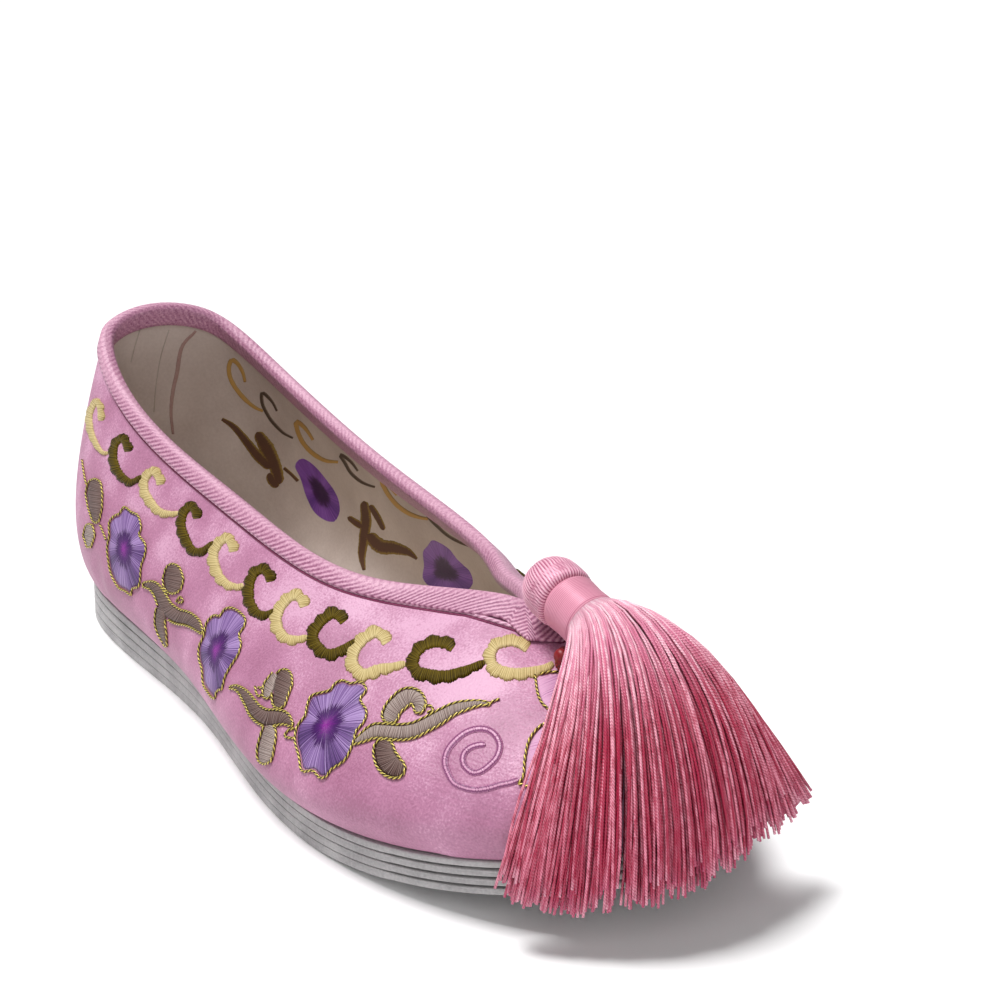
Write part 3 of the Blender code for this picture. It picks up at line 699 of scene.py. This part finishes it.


# Turns a profile (place along the axis, radius) round the tassel's axis; ridge gives the threads' relief and
# the share that paints shade into the furrows between them
def turnedPiece(name, profile, steps, ridge, material, node):
    bm = bmesh.new()
    verts = [bm.verts.new((headCentre + axisAhead * a + axisUp * r) * mm) for a, r in profile]
    edges = [bm.edges.new(pair) for pair in zip(verts, verts[1:])]
    bmesh.ops.spin(bm, geom=verts + edges, cent=headCentre * mm, axis=axisAhead, angle=2 * math.pi,
                   steps=steps, use_merge=True)
    bmesh.ops.remove_doubles(bm, verts=bm.verts, dist=0.005 * mm)
    relief = bm.verts.layers.float.new("fall")
    for v in bm.verts:
        offset = v.co / mm - headCentre
        along = offset.dot(axisAhead)
        out = offset - axisAhead * along
        angle = math.atan2(out.dot(axisSide), out.dot(axisUp))
        share, height = ridge(along, angle)
        v[relief] = share
        if out.length > 0.3:
            v.co += out.normalized() * (share - 0.7) * height * mm
    bmesh.ops.recalc_face_normals(bm, faces=bm.faces)
    return addPiece(name, meshOf(name, bm), [material], [node])


def headProfile():
    radius = tassel["headRadius"]
    rows = [(-radius * math.cos(a), radius * math.sin(a)) for a in np.radians(np.linspace(0, 90, 16))]
    rows += [(1.5, radius), (3.0, radius), (3.9, radius - 0.15), (4.4, radius - 0.7), (4.45, 3.0)]
    return rows


def headRidge(along, angle):
    wander = 0.03 * along + 0.012 * math.sin(5 * angle + 0.6 * along)  # threads aren't laid evenly
    wander += 0.006 * math.sin(13 * angle - 0.8 * along)
    crest = abs(math.cos(tassel["headThreads"] * (angle + wander) / 2)) ** 0.8
    return crest * (0.95 + 0.05 * math.sin(17 * angle + 0.5 * along)), 0.42


def bandProfile():
    start = tassel["barrel"] + tassel["gap"]
    shape = ((0.0, -0.5), (0.1, 0.0), (0.5, -0.2), (0.9, 0.0), (1.0, -0.5))
    rows = [(start, 3.0)]
    count = tassel["bandWraps"] * 4
    for i in range(count + 1):
        share = i / count
        change = np.interp(share, [s for s, c in shape], [c for s, c in shape])
        rows.append((start + share * tassel["bandLength"], tassel["bandRadius"] + float(change)))
    return rows + [(start + tassel["bandLength"], 3.0)]


def bandRidge(along, angle):
    turns = (along - tassel["barrel"] - tassel["gap"]) / tassel["bandLength"] * tassel["bandWraps"]
    return 0.35 + 0.6 * abs(math.sin(math.pi * turns + angle / 2)), 0.14


turnedPiece("tassel_head_silk", headProfile(), tassel["headThreads"] * 4, headRidge, headSilk, "tassel_head")
turnedPiece("tassel_band_silk", bandProfile(), 72, bandRidge, bandSilk, "tassel_band")


def skirtHandles(share):
    fans = np.array(tassel["fans"])
    row = share * (len(fans) - 1)
    turn, reach, tip, hang, swell = [float(np.interp(row, range(len(fans)), fans[:, k])) for k in range(5)]
    root = headCentre + axisAhead * (tassel["barrel"] + tassel["bandLength"] + 2 * tassel["gap"])
    a = math.radians(170 - 160 * share)
    side = axisSide * math.cos(a) + axisUp * math.sin(a)
    bearing = Vector((math.sin(math.radians(turn)), -math.cos(math.radians(turn)), 0))
    start = root + side * tassel["neckRadius"]
    end = root + bearing * reach
    end.z = tip
    ahead, out, up = tassel["leave"]
    leave = axisAhead * ahead + bearing * out + axisUp * up * math.sin(a)
    arrive = (start - end).normalized().lerp(Vector((0, 0, 1)), hang)
    first = start + leave.normalized() * tassel["spring"]
    second = end + arrive.normalized() * tassel["fallHandle"] + Vector((0, -swell, 0))
    return start, first, second, end


def blend(handles, weights):
    return sum((h * w for h, w in zip(handles, weights)), Vector())


# One silk cord of the skirt: the top cords follow the solid's face, the others lie under them
def skirtCord(share, depth, trim, wander, ripple):
    steps = 12
    handles = skirtHandles(share)
    nearA, nearB = skirtHandles(max(share - 0.02, 0)), skirtHandles(min(share + 0.02, 1))
    points = []
    for j in range(steps + 1):
        t = trim * j / steps
        u = 1 - t
        weights = (u ** 3, 3 * u * u * t, 3 * u * t * t, t ** 3)
        slope = (-3 * u * u, 3 * u * u - 6 * u * t, 6 * u * t - 3 * t * t, 3 * t * t)
        across = blend(nearB, weights) - blend(nearA, weights)
        out = blend(handles, slope).cross(across).normalized()
        thick = float(np.interp(t, (0, 0.15, 0.55, 1), (0.0, 8.0, 6.0, 3.4)))
        sink = thick * depth - 0.35 + 0.5 * ripple * math.cos(9 * t) * t
        sway = wander * t * t + ripple * math.sin(11 * t + 40 * share) * min(3 * t, 1)
        points.append((blend(handles, weights) - out * sink + across.normalized() * sway) * mm)
    return points


def buildSkirt():
    paths, tones = [], []
    clumps = [dice.uniform(-1.6, 1.6) for k in range(90)]  # cords of one clump lean together
    for k in range(tassel["cords"]):
        share = min(max((k + 0.5 + dice.uniform(-1.5, 1.5)) / tassel["cords"], 0), 1)
        depth = (k % tassel["ranks"] + dice.uniform(0, 0.9)) / tassel["ranks"]
        trim = 1.0 - dice.uniform(0, 0.08)
        stray = 2.5 if dice.random() < 0.04 else 1.0
        lean = clumps[int(share * 89)] + dice.uniform(-0.9, 0.9) * stray
        paths.append(skirtCord(share, depth, trim, lean, dice.uniform(-0.45, 0.45)))
        # each cord's brightness is random, and cords that lie deeper are painted darker as shade under the
        # cords above them
        bright = dice.uniform(0.7, 1.3) if dice.random() < 0.4 else dice.uniform(0.05, 0.5)
        tones.append(bright * (1 - 0.6 * depth))
    mesh = cordMesh("tassel_skirt_silk", paths, tassel["yarn"] / 2 * mm, 5,
                    taper=lambda s: 0.85 + 0.2 * min(3 * s, 1), tones=tones)
    return addPiece("tassel_skirt_silk", mesh, [tasselSilk], ["tassel_skirt"])


buildSkirt()
print("tassel ready")


# Embroidery, charted in the photograph's frame and sewn on along the camera's rays
embroidery = {
    "rise": 0.45, "sink": 0.1,  # padding of the satin stitch and how deep its rim lies, millimetres
    "reverseRise": 0.18, "reverseSink": 0.08,  # and of its reverse on the lining
    "goldRadius": 0.32, "goldLay": 2.6,
    "spiralWidth": 8.0,         # pixels
    "stitch": 3.6,              # pixels that count as a millimetre along a thread pattern
}
# Columns along each kind of shape, and rows across it
stitchGrids = {"scroll": (130, 6), "leaf": (40, 6), "petal": (96, 9), "toe": (30, 12), "spiral": (220, 6)}
scrolls = [  # yellow and olive in turn, heel to throat
    [(101, 421), (101, 410), (97, 401), (90, 413), (90, 428), (95, 442), (102, 452), (109, 453)],
    [(128, 452), (127, 444), (122, 438), (115, 444), (113, 456), (116, 469), (125, 480), (133, 482),
     (142, 476)],
    [(161, 485), (159, 477), (153, 471), (146, 477), (144, 490), (150, 502), (160, 512), (170, 514),
     (179, 513)],
    [(197, 519), (196, 511), (191, 506), (184, 512), (181, 525), (185, 539), (193, 551), (203, 551),
     (214, 542)],
    [(234, 552), (232, 543), (226, 538), (218, 544), (213, 557), (217, 573), (226, 584), (237, 587),
     (244, 585)],
    [(271, 582), (269, 574), (263, 569), (254, 573), (249, 586), (249, 600), (256, 613), (266, 615),
     (277, 610)],
    [(305, 607), (302, 599), (295, 595), (285, 601), (277, 614), (277, 627), (285, 638), (296, 640),
     (308, 637)],
    [(345, 622), (340, 616), (333, 613), (322, 620), (313, 633), (315, 645), (326, 654), (339, 652),
     (358, 640)],
    [(388, 643), (383, 636), (376, 632), (363, 639), (353, 654), (353, 666), (364, 675), (379, 670),
     (394, 667), (406, 663)],
    [(454, 648), (446, 643), (434, 642), (420, 648), (413, 661), (417, 672), (434, 676), (448, 676),
     (468, 670), (485, 662)],
    [(529, 648), (521, 643), (511, 641), (496, 645), (490, 657), (495, 669), (511, 674), (527, 673),
     (544, 669), (554, 663)],
]
scrollWidths = [  # share along, pixels
    (0.0, 12.0), (0.08, 13.0), (0.2, 12.0), (0.35, 12.0), (0.55, 14.0), (0.8, 11.5), (1.0, 6.0)]
scrollScales = (0.55, 0.74, 0.76, 0.82, 0.86, 0.9, 0.95, 1.0, 1.05, 1.05, 1.05)  # heel to throat
flowers = [
    ((125, 549), [(125, 507), (132, 512), (139, 516), (142, 528), (140, 535), (146, 544), (146, 554),
     (142, 566), (141, 580), (139, 587), (133, 589), (132, 595), (126, 591), (119, 587), (112, 574),
     (109, 559), (108, 547), (110, 536), (110, 523), (115, 516), (120, 514)]),
    ((217, 651), [(232, 608), (240, 612), (246, 619), (245, 627), (240, 635), (242, 644), (239, 655),
     (232, 666), (226, 677), (223, 689), (218, 691), (215, 699), (208, 691), (204, 683), (203, 670),
     (200, 659), (200, 647), (205, 635), (207, 624), (214, 616), (221, 616), (225, 610)]),
    ((327, 726), [(344, 681), (351, 684), (362, 683), (367, 691), (361, 700), (367, 711), (365, 722),
     (357, 732), (354, 743), (346, 760), (332, 770), (328, 776), (321, 778), (314, 771), (303, 771),
     (300, 757), (296, 741), (298, 727), (306, 716), (308, 706), (313, 696), (330, 691), (336, 684)]),
]
leaves = [  # floss, spine, widths along it in pixels
    (darkLeafFloss, [(96, 479), (95, 492), (96, 507), (97, 523)], (12, 17, 14, 6)),
    (paleLeafFloss, [(90, 524), (90, 534), (90, 547)], (7, 12, 4)),
    (darkLeafFloss, [(173, 564), (174, 578), (173, 594)], (12, 21, 16)),
    (darkLeafFloss, [(144, 585), (153, 586), (159, 592), (163, 600), (168, 609), (177, 616), (188, 619),
     (196, 624), (203, 633)], (4, 10, 11, 13, 15, 15, 14, 11, 3)),
    (darkLeafFloss, [(163, 606), (161, 622), (163, 632), (167, 646)], (12, 11, 9, 2)),
    (darkLeafFloss, [(231, 688), (237, 688), (244, 693), (251, 703), (257, 712), (266, 718), (276, 718),
     (285, 719), (293, 726)], (2, 6, 10, 12, 15, 17, 16, 13, 3)),
    (darkLeafFloss, [(287, 670), (284, 681), (281, 695), (279, 709)], (12, 20, 16, 12)),
    (paleLeafFloss, [(276, 674), (270, 686), (267, 699)], (5, 11, 8)),
    (paleLeafFloss, [(271, 725), (269, 738), (267, 747), (265, 764)], (12, 16, 17, 13)),
    (paleLeafFloss, [(354, 744), (364, 738), (375, 732), (387, 732), (400, 733), (414, 731), (427, 725),
     (440, 718), (454, 710), (468, 706), (481, 704), (490, 705)],
     (3, 10, 15, 15, 16, 15, 14, 14, 12, 10, 6, 2)),
    (paleLeafFloss, [(389, 724), (393, 711), (401, 702), (409, 697), (417, 699), (420, 707), (416, 713)],
     (17, 17, 17, 18, 16, 14, 8)),
    (darkLeafFloss, [(386, 740), (385, 753), (390, 764), (398, 768), (406, 768)], (19, 21, 24, 23, 18)),
]
spiral = [
    (486, 745), (479, 745), (470, 748), (464, 754), (463, 762), (467, 769), (474, 773), (482, 771),
    (490, 765), (497, 757), (500, 746), (496, 736), (488, 730), (477, 729), (465, 733), (454, 742),
    (447, 752), (445, 763), (448, 773), (454, 783), (465, 788), (477, 790), (490, 788), (500, 785),
    (510, 783), (519, 780)
]
toeCords = [
    [(540, 675), (549, 673), (558, 673)],
    [(535, 676), (538, 695), (544, 706), (555, 713)],
    [(550, 721), (538, 729), (529, 742), (525, 761), (524, 776), (519, 784)],
    [(519, 784), (529, 787), (534, 790)],
]
goldWisps = [
    [(101, 525), (107, 540)],
    [(83, 460), (85, 474), (87, 484)],
    [(256, 687), (258, 695), (262, 696), (264, 689), (259, 688)],
    [(177, 602), (181, 597), (184, 602), (179, 603)],
    [(295, 729), (289, 731), (286, 737), (296, 739)],
    [(424, 708), (430, 706), (434, 711), (428, 713)],
    [(490, 704), (496, 701), (500, 700)],
]
toePetals = [  # sewn edge, and the same petal's end under the tassel
    ([(535, 676), (537, 690), (543, 705), (555, 713)], [(572, 672), (575, 688), (578, 703), (580, 716)]),
    ([(550, 721), (536, 731), (527, 748), (524, 768), (520, 784)], [(578, 724), (572, 740), (566, 758),
     (560, 776), (552, 792)]),
]
# Reverse of the far flank's embroidery, seen on the lining
reverseScrolls = [
    (reverseOchre, [(245, 382), (243, 373), (238, 364), (232, 360), (229, 367), (230, 377), (235, 387),
     (242, 396), (249, 403), (256, 408), (263, 411)], 5.5),
    (reverseSlate, [(277, 411), (273, 403), (267, 396), (262, 393), (262, 402), (265, 410), (271, 420),
     (279, 429), (285, 434), (293, 438)], 4.2),
    (reverseOchre, [(313, 440), (308, 432), (302, 425), (296, 422), (298, 432), (302, 441), (309, 450),
     (318, 457), (327, 461), (338, 462)], 5.5),
    (reverseSlate, [(358, 471), (352, 463), (345, 457), (340, 455), (345, 463), (351, 473), (360, 481),
     (368, 485), (375, 487)], 4.0),
    (reverseOchre, [(397, 495), (390, 487), (382, 481), (384, 487), (390, 497), (398, 506), (408, 513),
     (418, 517), (428, 519)], 5.5),
    (reverseSlate, [(422, 508), (430, 519), (438, 527), (447, 535), (459, 542), (469, 546)], 3.6),
]
reverseLeaves = [
    ([(222, 419), (234, 427), (246, 441), (258, 456), (271, 468)], (4, 8, 10, 12, 12)),
    ([(257, 432), (267, 449), (275, 466), (280, 484)], (11, 18, 15, 12)),
    ([(269, 473), (272, 480), (278, 487)], (9, 12, 10)),
    ([(284, 468), (291, 474), (298, 481)], (4, 4, 4)),
    ([(364, 501), (366, 520), (364, 538), (362, 556), (364, 570)], (9, 13, 12, 10, 4)),
    ([(348, 517), (355, 522), (363, 527)], (6, 8, 9)),
    ([(370, 505), (378, 518), (384, 530)], (7, 8, 6)),
    ([(368, 534), (380, 546), (394, 548), (408, 552), (417, 559)], (13, 17, 16, 11, 3)),
]
reverseFlowers = [
    ((322, 493), [(299, 456), (308, 459), (318, 468), (327, 479), (335, 490), (340, 501), (341, 513),
     (336, 523), (327, 523), (314, 514), (305, 497), (299, 478), (293, 464)]),
    ((446, 570), [(431, 538), (440, 541), (450, 548), (457, 557), (465, 565), (472, 572), (475, 584),
     (468, 592), (450, 592), (430, 588), (421, 579), (422, 565), (421, 551), (426, 544)]),
]
heelSeam = [(196, 331), (182, 347), (177, 373), (173, 391), (171, 412), (173, 434)]
heelBasting = [[(169, 330), (161, 356), (156, 386), (154, 412)], [(140, 330), (135, 346), (131, 362)]]


# Where a pixel's ray meets the upper; one that passes just behind the heel is moved in
def onUpper(x, y):
    for step in range(20):
        spot, normal = upperTree.ray_cast(viewPlace, pixelRay(x + step, y))[:2]
        if spot:
            return spot, normal
    raise ValueError("pixel off the upper: %d, %d" % (x, y))


# Where it meets the far flank's lining, past the near collar
def onLining(x, y):
    ray = pixelRay(x, y)
    start = viewPlace
    for step in range(8):
        spot, normal = upperTree.ray_cast(start, ray)[:2]
        if not spot:
            break
        if spot.x > 0 and normal.dot(ray) < 0 and normal.x < 0:
            return spot, normal
        start = spot + ray * 0.2 * mm
    raise ValueError("pixel off the lining: %d, %d" % (x, y))


# The same place on the other flank
def mirrored(spot, normal):
    flipped = Vector((-normal.x, normal.y, normal.z))
    guess = Vector((-spot.x, spot.y, spot.z)) + flipped * 3 * mm
    return upperTree.find_nearest(guess)[:2]


def landed(landing, pixel, flank):
    spot, normal = landing(*pixel)
    return mirrored(spot, normal) if flank > 0 else (spot, normal)


# Padded patch of stitches on both flanks: a grid laid over pixels, closed underneath
def sewGrid(bm, kind, toPixel, rise, unit, landing=onUpper, flanks=(-1, 1), looped=False):
    columns, rows = stitchGrids[kind]
    uvLayer = bm.loops.layers.uv.verify()
    for flank in flanks:
        verts = bmesh.ops.create_grid(bm, x_segments=columns, y_segments=rows, size=1)["verts"]
        shares, facing, grid = {}, {}, {}
        for v in verts:
            along, across = (v.co.x + 1) / 2, v.co.y
            grid[round(along * columns), round((across + 1) / 2 * rows)] = v
            shares[v] = unit(along, across)
            spot, normal = landed(landing, toPixel(along, across), flank)
            facing[v] = normal
            v.co = spot + normal * rise(along, across) * mm
        faces = list({f for v in verts for f in v.link_faces})
        if looped:
            rim = [grid[i, rows] for i in range(columns)]
            spot, normal = landed(landing, toPixel(0, -1), flank)
            centre = bm.verts.new(spot - normal * 0.8 * mm)
            shares[centre] = (0.5, 0.0)
            under = [bm.faces.new((a, grid[i + 1, rows], centre)) for i, a in enumerate(rim)]
        else:
            corners = [((i, 0), (i, rows), (i + 1, rows), (i + 1, 0)) for i in range(columns)]
            under = [bm.faces.new([grid[c] for c in four]) for four in corners]
            under += [bm.faces.new([grid[i, j] for j in range(rows + 1)]) for i in (0, columns)]
        for face in faces + under:
            for loop in face.loops:
                loop[uvLayer].uv = shares[loop.vert]
        bmesh.ops.recalc_face_normals(bm, faces=faces + under)
        if sum(f.normal.dot(facing[f.verts[0]]) for f in faces) < 0:
            bmesh.ops.reverse_faces(bm, faces=faces + under)


def pointAt(line, share):
    return [np.interp(share * (len(line) - 1), range(len(line)), line[:, k]) for k in (0, 1)]


# Strip of pixels along a spine: wide ends are rounded, one edge may be scalloped, threads end raggedly
def ribbon(points, widths, scallops=0, ragged=0.0, rounded=True):
    line = smoothLine(points, 121)
    ahead = np.gradient(line, axis=0)
    ahead /= np.linalg.norm(ahead, axis=1)[:, None]
    length = float(np.linalg.norm(np.diff(line, axis=0), axis=1).sum())
    if not isinstance(widths[0], tuple):
        widths = list(zip(np.linspace(0, 1, len(widths)), widths))
    places, values = zip(*widths)
    fray = [1 + dice.uniform(-ragged, ragged) for k in range(400)]  # thread ends, 200 on each edge
    caps = [min(v / 2 / length, 0.4) if v > 5 and rounded else 0 for v in (values[0], values[-1])]

    def toPixel(along, across):
        spot, run = pointAt(line, along), pointAt(ahead, along)
        half = float(np.interp(along, places, values)) / 2
        if across > 0 and scallops:
            half *= 0.74 + 0.5 * abs(math.sin(math.pi * scallops * along)) ** 0.7
        for cap, left in zip(caps, (along, 1 - along)):
            if left < cap:
                half *= max(1 - (1 - left / cap) ** 2, 0.01) ** 0.5
        half *= 1 + (fray[int(along * 180) + (200 if across > 0 else 0)] - 1) * across * across
        return spot[0] - run[1] * half * across, spot[1] + run[0] * half * across
    return toPixel, length


def domed(along, across):
    rise, sink = embroidery["rise"], embroidery["sink"]
    end = min(along, 1 - along) * 30
    return (rise + sink) * max(1 - across ** 8, 0) * min(end, 1) ** 0.5 - sink


def flatStitch(along, across):
    rise, sink = embroidery["reverseRise"], embroidery["reverseSink"]
    return (rise + sink) * max(1 - across ** 4, 0) - sink


def petalRise(rise, sink):
    return lambda along, across: (rise + sink) * (1 - ((across + 1) / 2) ** 5) - sink


def alongThreads(length):
    return lambda along, across: (along * length / embroidery["stitch"], across)


def addSewn(name, bm, floss):
    addPiece(name, meshOf(name, bm), [floss])


def sewScrolls(first, floss, name):
    bm = bmesh.new()
    for points, scale in list(zip(scrolls, scrollScales))[first::2]:
        toPixel, length = ribbon(points, [(s, w * scale) for s, w in scrollWidths], 9, 0.13, False)
        sewGrid(bm, "scroll", toPixel, domed, alongThreads(length))
    addSewn(name, bm, floss)


def sewRibbons(name, shapes, floss, rise, landing, flanks=(-1, 1)):
    bm = bmesh.new()
    for points, widths in shapes:
        toPixel, length = ribbon(points, widths, 0, 0.06)
        sewGrid(bm, "leaf", toPixel, rise, alongThreads(length), landing, flanks)
    addSewn(name, bm, floss)


def petalPixel(centre, outline):
    line = smoothLine(outline, 180, closed=True)
    line = np.vstack([line, line[:1]])

    def toPixel(along, across):
        return [c + (e - c) * (across + 1) / 2 for c, e in zip(centre, pointAt(line, along))]
    return toPixel


def sewFlowers(name, shapes, floss, rise, landing):
    bm = bmesh.new()
    for centre, outline in shapes:
        sewGrid(bm, "petal", petalPixel(centre, outline), rise, lambda a, c: (a, (c + 1) / 2), landing,
                looped=True)
    bmesh.ops.remove_doubles(bm, verts=bm.verts, dist=0.02 * mm)
    bmesh.ops.recalc_face_normals(bm, faces=bm.faces)
    addSewn(name, bm, floss)


def sewToePetals():
    bm = bmesh.new()
    for edge, end in toePetals:
        near, far = smoothLine(edge, 61), smoothLine(end, 61)

        def toPixel(along, across, near=near, far=far):
            ends = zip(pointAt(near, along), pointAt(far, along))
            return [a + (b - a) * (across + 1) / 2 for a, b in ends]
        sewGrid(bm, "toe", toPixel, lambda a, c: 0.3 * min(1, 6 * min(a, 1 - a), 3 * (1 - abs(c))) - 0.05,
                lambda a, c: (12 * a, 4 * c))
    addSewn("embroidered_toe_petals", bm, pinkFloss)


def surfacePath(pixels, flank, lift):
    path = []
    for pixel in pixels:
        spot, normal = landed(onUpper, pixel, flank)
        path.append(spot + normal * lift * mm)
    return path


def evenPath(path, spacing):
    length = float(np.linalg.norm(np.diff(np.array(path), axis=0), axis=1).sum())
    return smoothLine(path, max(int(length / (spacing * mm)), 4))


def leafOutline(points, widths):
    toPixel, length = ribbon(points, widths, 0)
    there = [toPixel(a, 1) for a in np.linspace(0, 1, 30)]
    back = [toPixel(a, -1) for a in np.linspace(1, 0, 30)]
    return there + back


def isInside(spot, outline):
    x, y = spot
    crossings = 0
    for (ax, ay), (bx, by) in zip(outline, outline[1:] + outline[:1]):
        if (ay > y) != (by > y) and x < ax + (y - ay) / (by - ay) * (bx - ax):
            crossings += 1
    return crossings % 2 == 1


# Gilt cord couched round the petals and the leaves, left out where one shape covers another
def layGoldCord():
    blooms = [smoothLine(outline, 70, closed=True).tolist() for centre, outline in flowers]
    sprigs = [leafOutline(points, widths) for floss, points, widths in leaves]
    runs = [bloom + bloom[:1] for bloom in blooms]
    for i, sprig in enumerate(sprigs):
        others = sprigs[:i] + sprigs[i + 1:] + blooms
        run = []
        for spot in sprig + sprig[:1]:
            if any(isInside(spot, other) for other in others):
                runs.append(run)
                run = []
            else:
                run.append(spot)
        runs.append(run)
    runs += [smoothLine(c, 14).tolist() for c in toeCords + goldWisps]
    paths = []
    for run in runs:
        if len(run) > 3:
            paths += [evenPath(surfacePath(run, flank, 0.3), 0.4) for flank in (-1, 1)]
    mesh = cordMesh("gilt_cord", paths, embroidery["goldRadius"] * mm, 6, lobes=0.3,
                    lay=embroidery["goldLay"])
    addPiece("gilt_cord", mesh, [goldCord])


def laySpiral():
    bm = bmesh.new()
    toPixel, length = ribbon(spiral, [embroidery["spiralWidth"]] * 2, 0)
    sewGrid(bm, "spiral", toPixel, lambda a, c: 0.34 * max(1 - abs(c) ** 2.5, 0) - 0.06,
            lambda a, c: (a * length / 4.6, c))
    addSewn("couched_spiral", bm, couchedCord)


def sewReverse():
    for floss, name in ((reverseOchre, "reverse_ochre_scrolls"), (reverseSlate, "reverse_slate_scrolls")):
        shapes = [(points, (0.6 * width, width, width, width, 0.6 * width))
                  for which, points, width in reverseScrolls if which is floss]
        sewRibbons(name, shapes, floss, flatStitch, onLining)
    sewRibbons("reverse_leaves", reverseLeaves, reverseBrown, flatStitch, onLining)
    sewFlowers("reverse_flowers", reverseFlowers, reversePetals,
               petalRise(embroidery["reverseRise"], embroidery["reverseSink"]), onLining)
    sewRibbons("heel_seam_edge", [(heelSeam, (3.0, 5.0, 4.4, 3.0))], seamTape, flatStitch, onUpper, (-1,))
    tacks = [(line, (1.2, 1.2)) for line in heelBasting]
    sewRibbons("heel_basting", tacks, basting, flatStitch, onUpper, (-1,))


# Free end of the red tie, beside the last scroll
tieEnd = {"pixels": [(563, 654), (562, 662), (561, 669), (560, 675)], "radius": 1.5, "lay": 6.0}


def layTieEnd():
    path = evenPath(surfacePath(tieEnd["pixels"], -1, tieEnd["radius"]), 0.5)
    mesh = cordMesh("tie_end", [path], tieEnd["radius"] * mm, 12, lobes=0.12, lay=tieEnd["lay"],
                    taper=lambda s: (1 - 0.9 * abs(2 * s - 1) ** 5))
    addPiece("tie_end", mesh, [redCord])


layTieEnd()
sewScrolls(0, yellowFloss, "embroidered_yellow_scrolls")
sewScrolls(1, oliveFloss, "embroidered_olive_scrolls")
for floss, name in ((paleLeafFloss, "embroidered_pale_leaves"), (darkLeafFloss, "embroidered_dark_leaves")):
    lobes = [(points, widths) for which, points, widths in leaves if which is floss]
    sewRibbons(name, lobes, floss, domed, onUpper)
sewFlowers("embroidered_flowers", flowers, petalFloss, petalRise(embroidery["rise"], embroidery["sink"]),
           onUpper)
sewToePetals()
layGoldCord()
laySpiral()
sewReverse()
print("embroidery ready")


# Pale floor, a broad lamp high over the outer side, a softbox in front and an even white room
studio = {
    "floorSize": 14.0, "world": 0.2,
    "key": {"from": (-0.21, 0.27, 0.94), "spread": 24, "power": 3.25},
    "fill": {"place": (-0.5, -0.8, 0.7), "aim": (0, -0.02, 0.03), "size": 0.9, "power": 3.0},
}


def addLamp(name, kind, power, back):
    light = bpy.data.lights.new(name, kind)
    light.energy = power
    lamp = bpy.data.objects.new(name, light)
    lamp.rotation_euler = Vector(back).to_track_quat("Z", "Y").to_euler()
    bpy.context.scene.collection.objects.link(lamp)
    return lamp


def buildStudio():
    bm = bmesh.new()
    bmesh.ops.create_grid(bm, x_segments=1, y_segments=1, size=studio["floorSize"] / 2)
    mesh = meshOf("paleFloor", bm)
    paper = {"Base Color": hexToLinear("#FCFCFC"), "Specular IOR Level": 0.1}
    mesh.materials.append(newMaterial("palePaperSweep", 0.9, paper)[0])
    floor = bpy.data.objects.new("paleFloor", mesh)
    bpy.context.scene.collection.objects.link(floor)
    world = bpy.data.worlds.new("softWhite")
    world.use_nodes = True
    sky = world.node_tree.nodes["Background"]
    sky.inputs["Color"].default_value = (1, 1, 1, 1)
    sky.inputs["Strength"].default_value = studio["world"]
    bpy.context.scene.world = world
    key, fill = studio["key"], studio["fill"]
    addLamp("highLamp", "SUN", key["power"], key["from"]).data.angle = math.radians(key["spread"])
    softbox = addLamp("fillSoftbox", "AREA", fill["power"], Vector(fill["place"]) - Vector(fill["aim"]))
    softbox.location = fill["place"]
    softbox.data.size = fill["size"]
    bpy.context.scene.view_settings.view_transform = "Standard"


buildStudio()
print("studio ready")
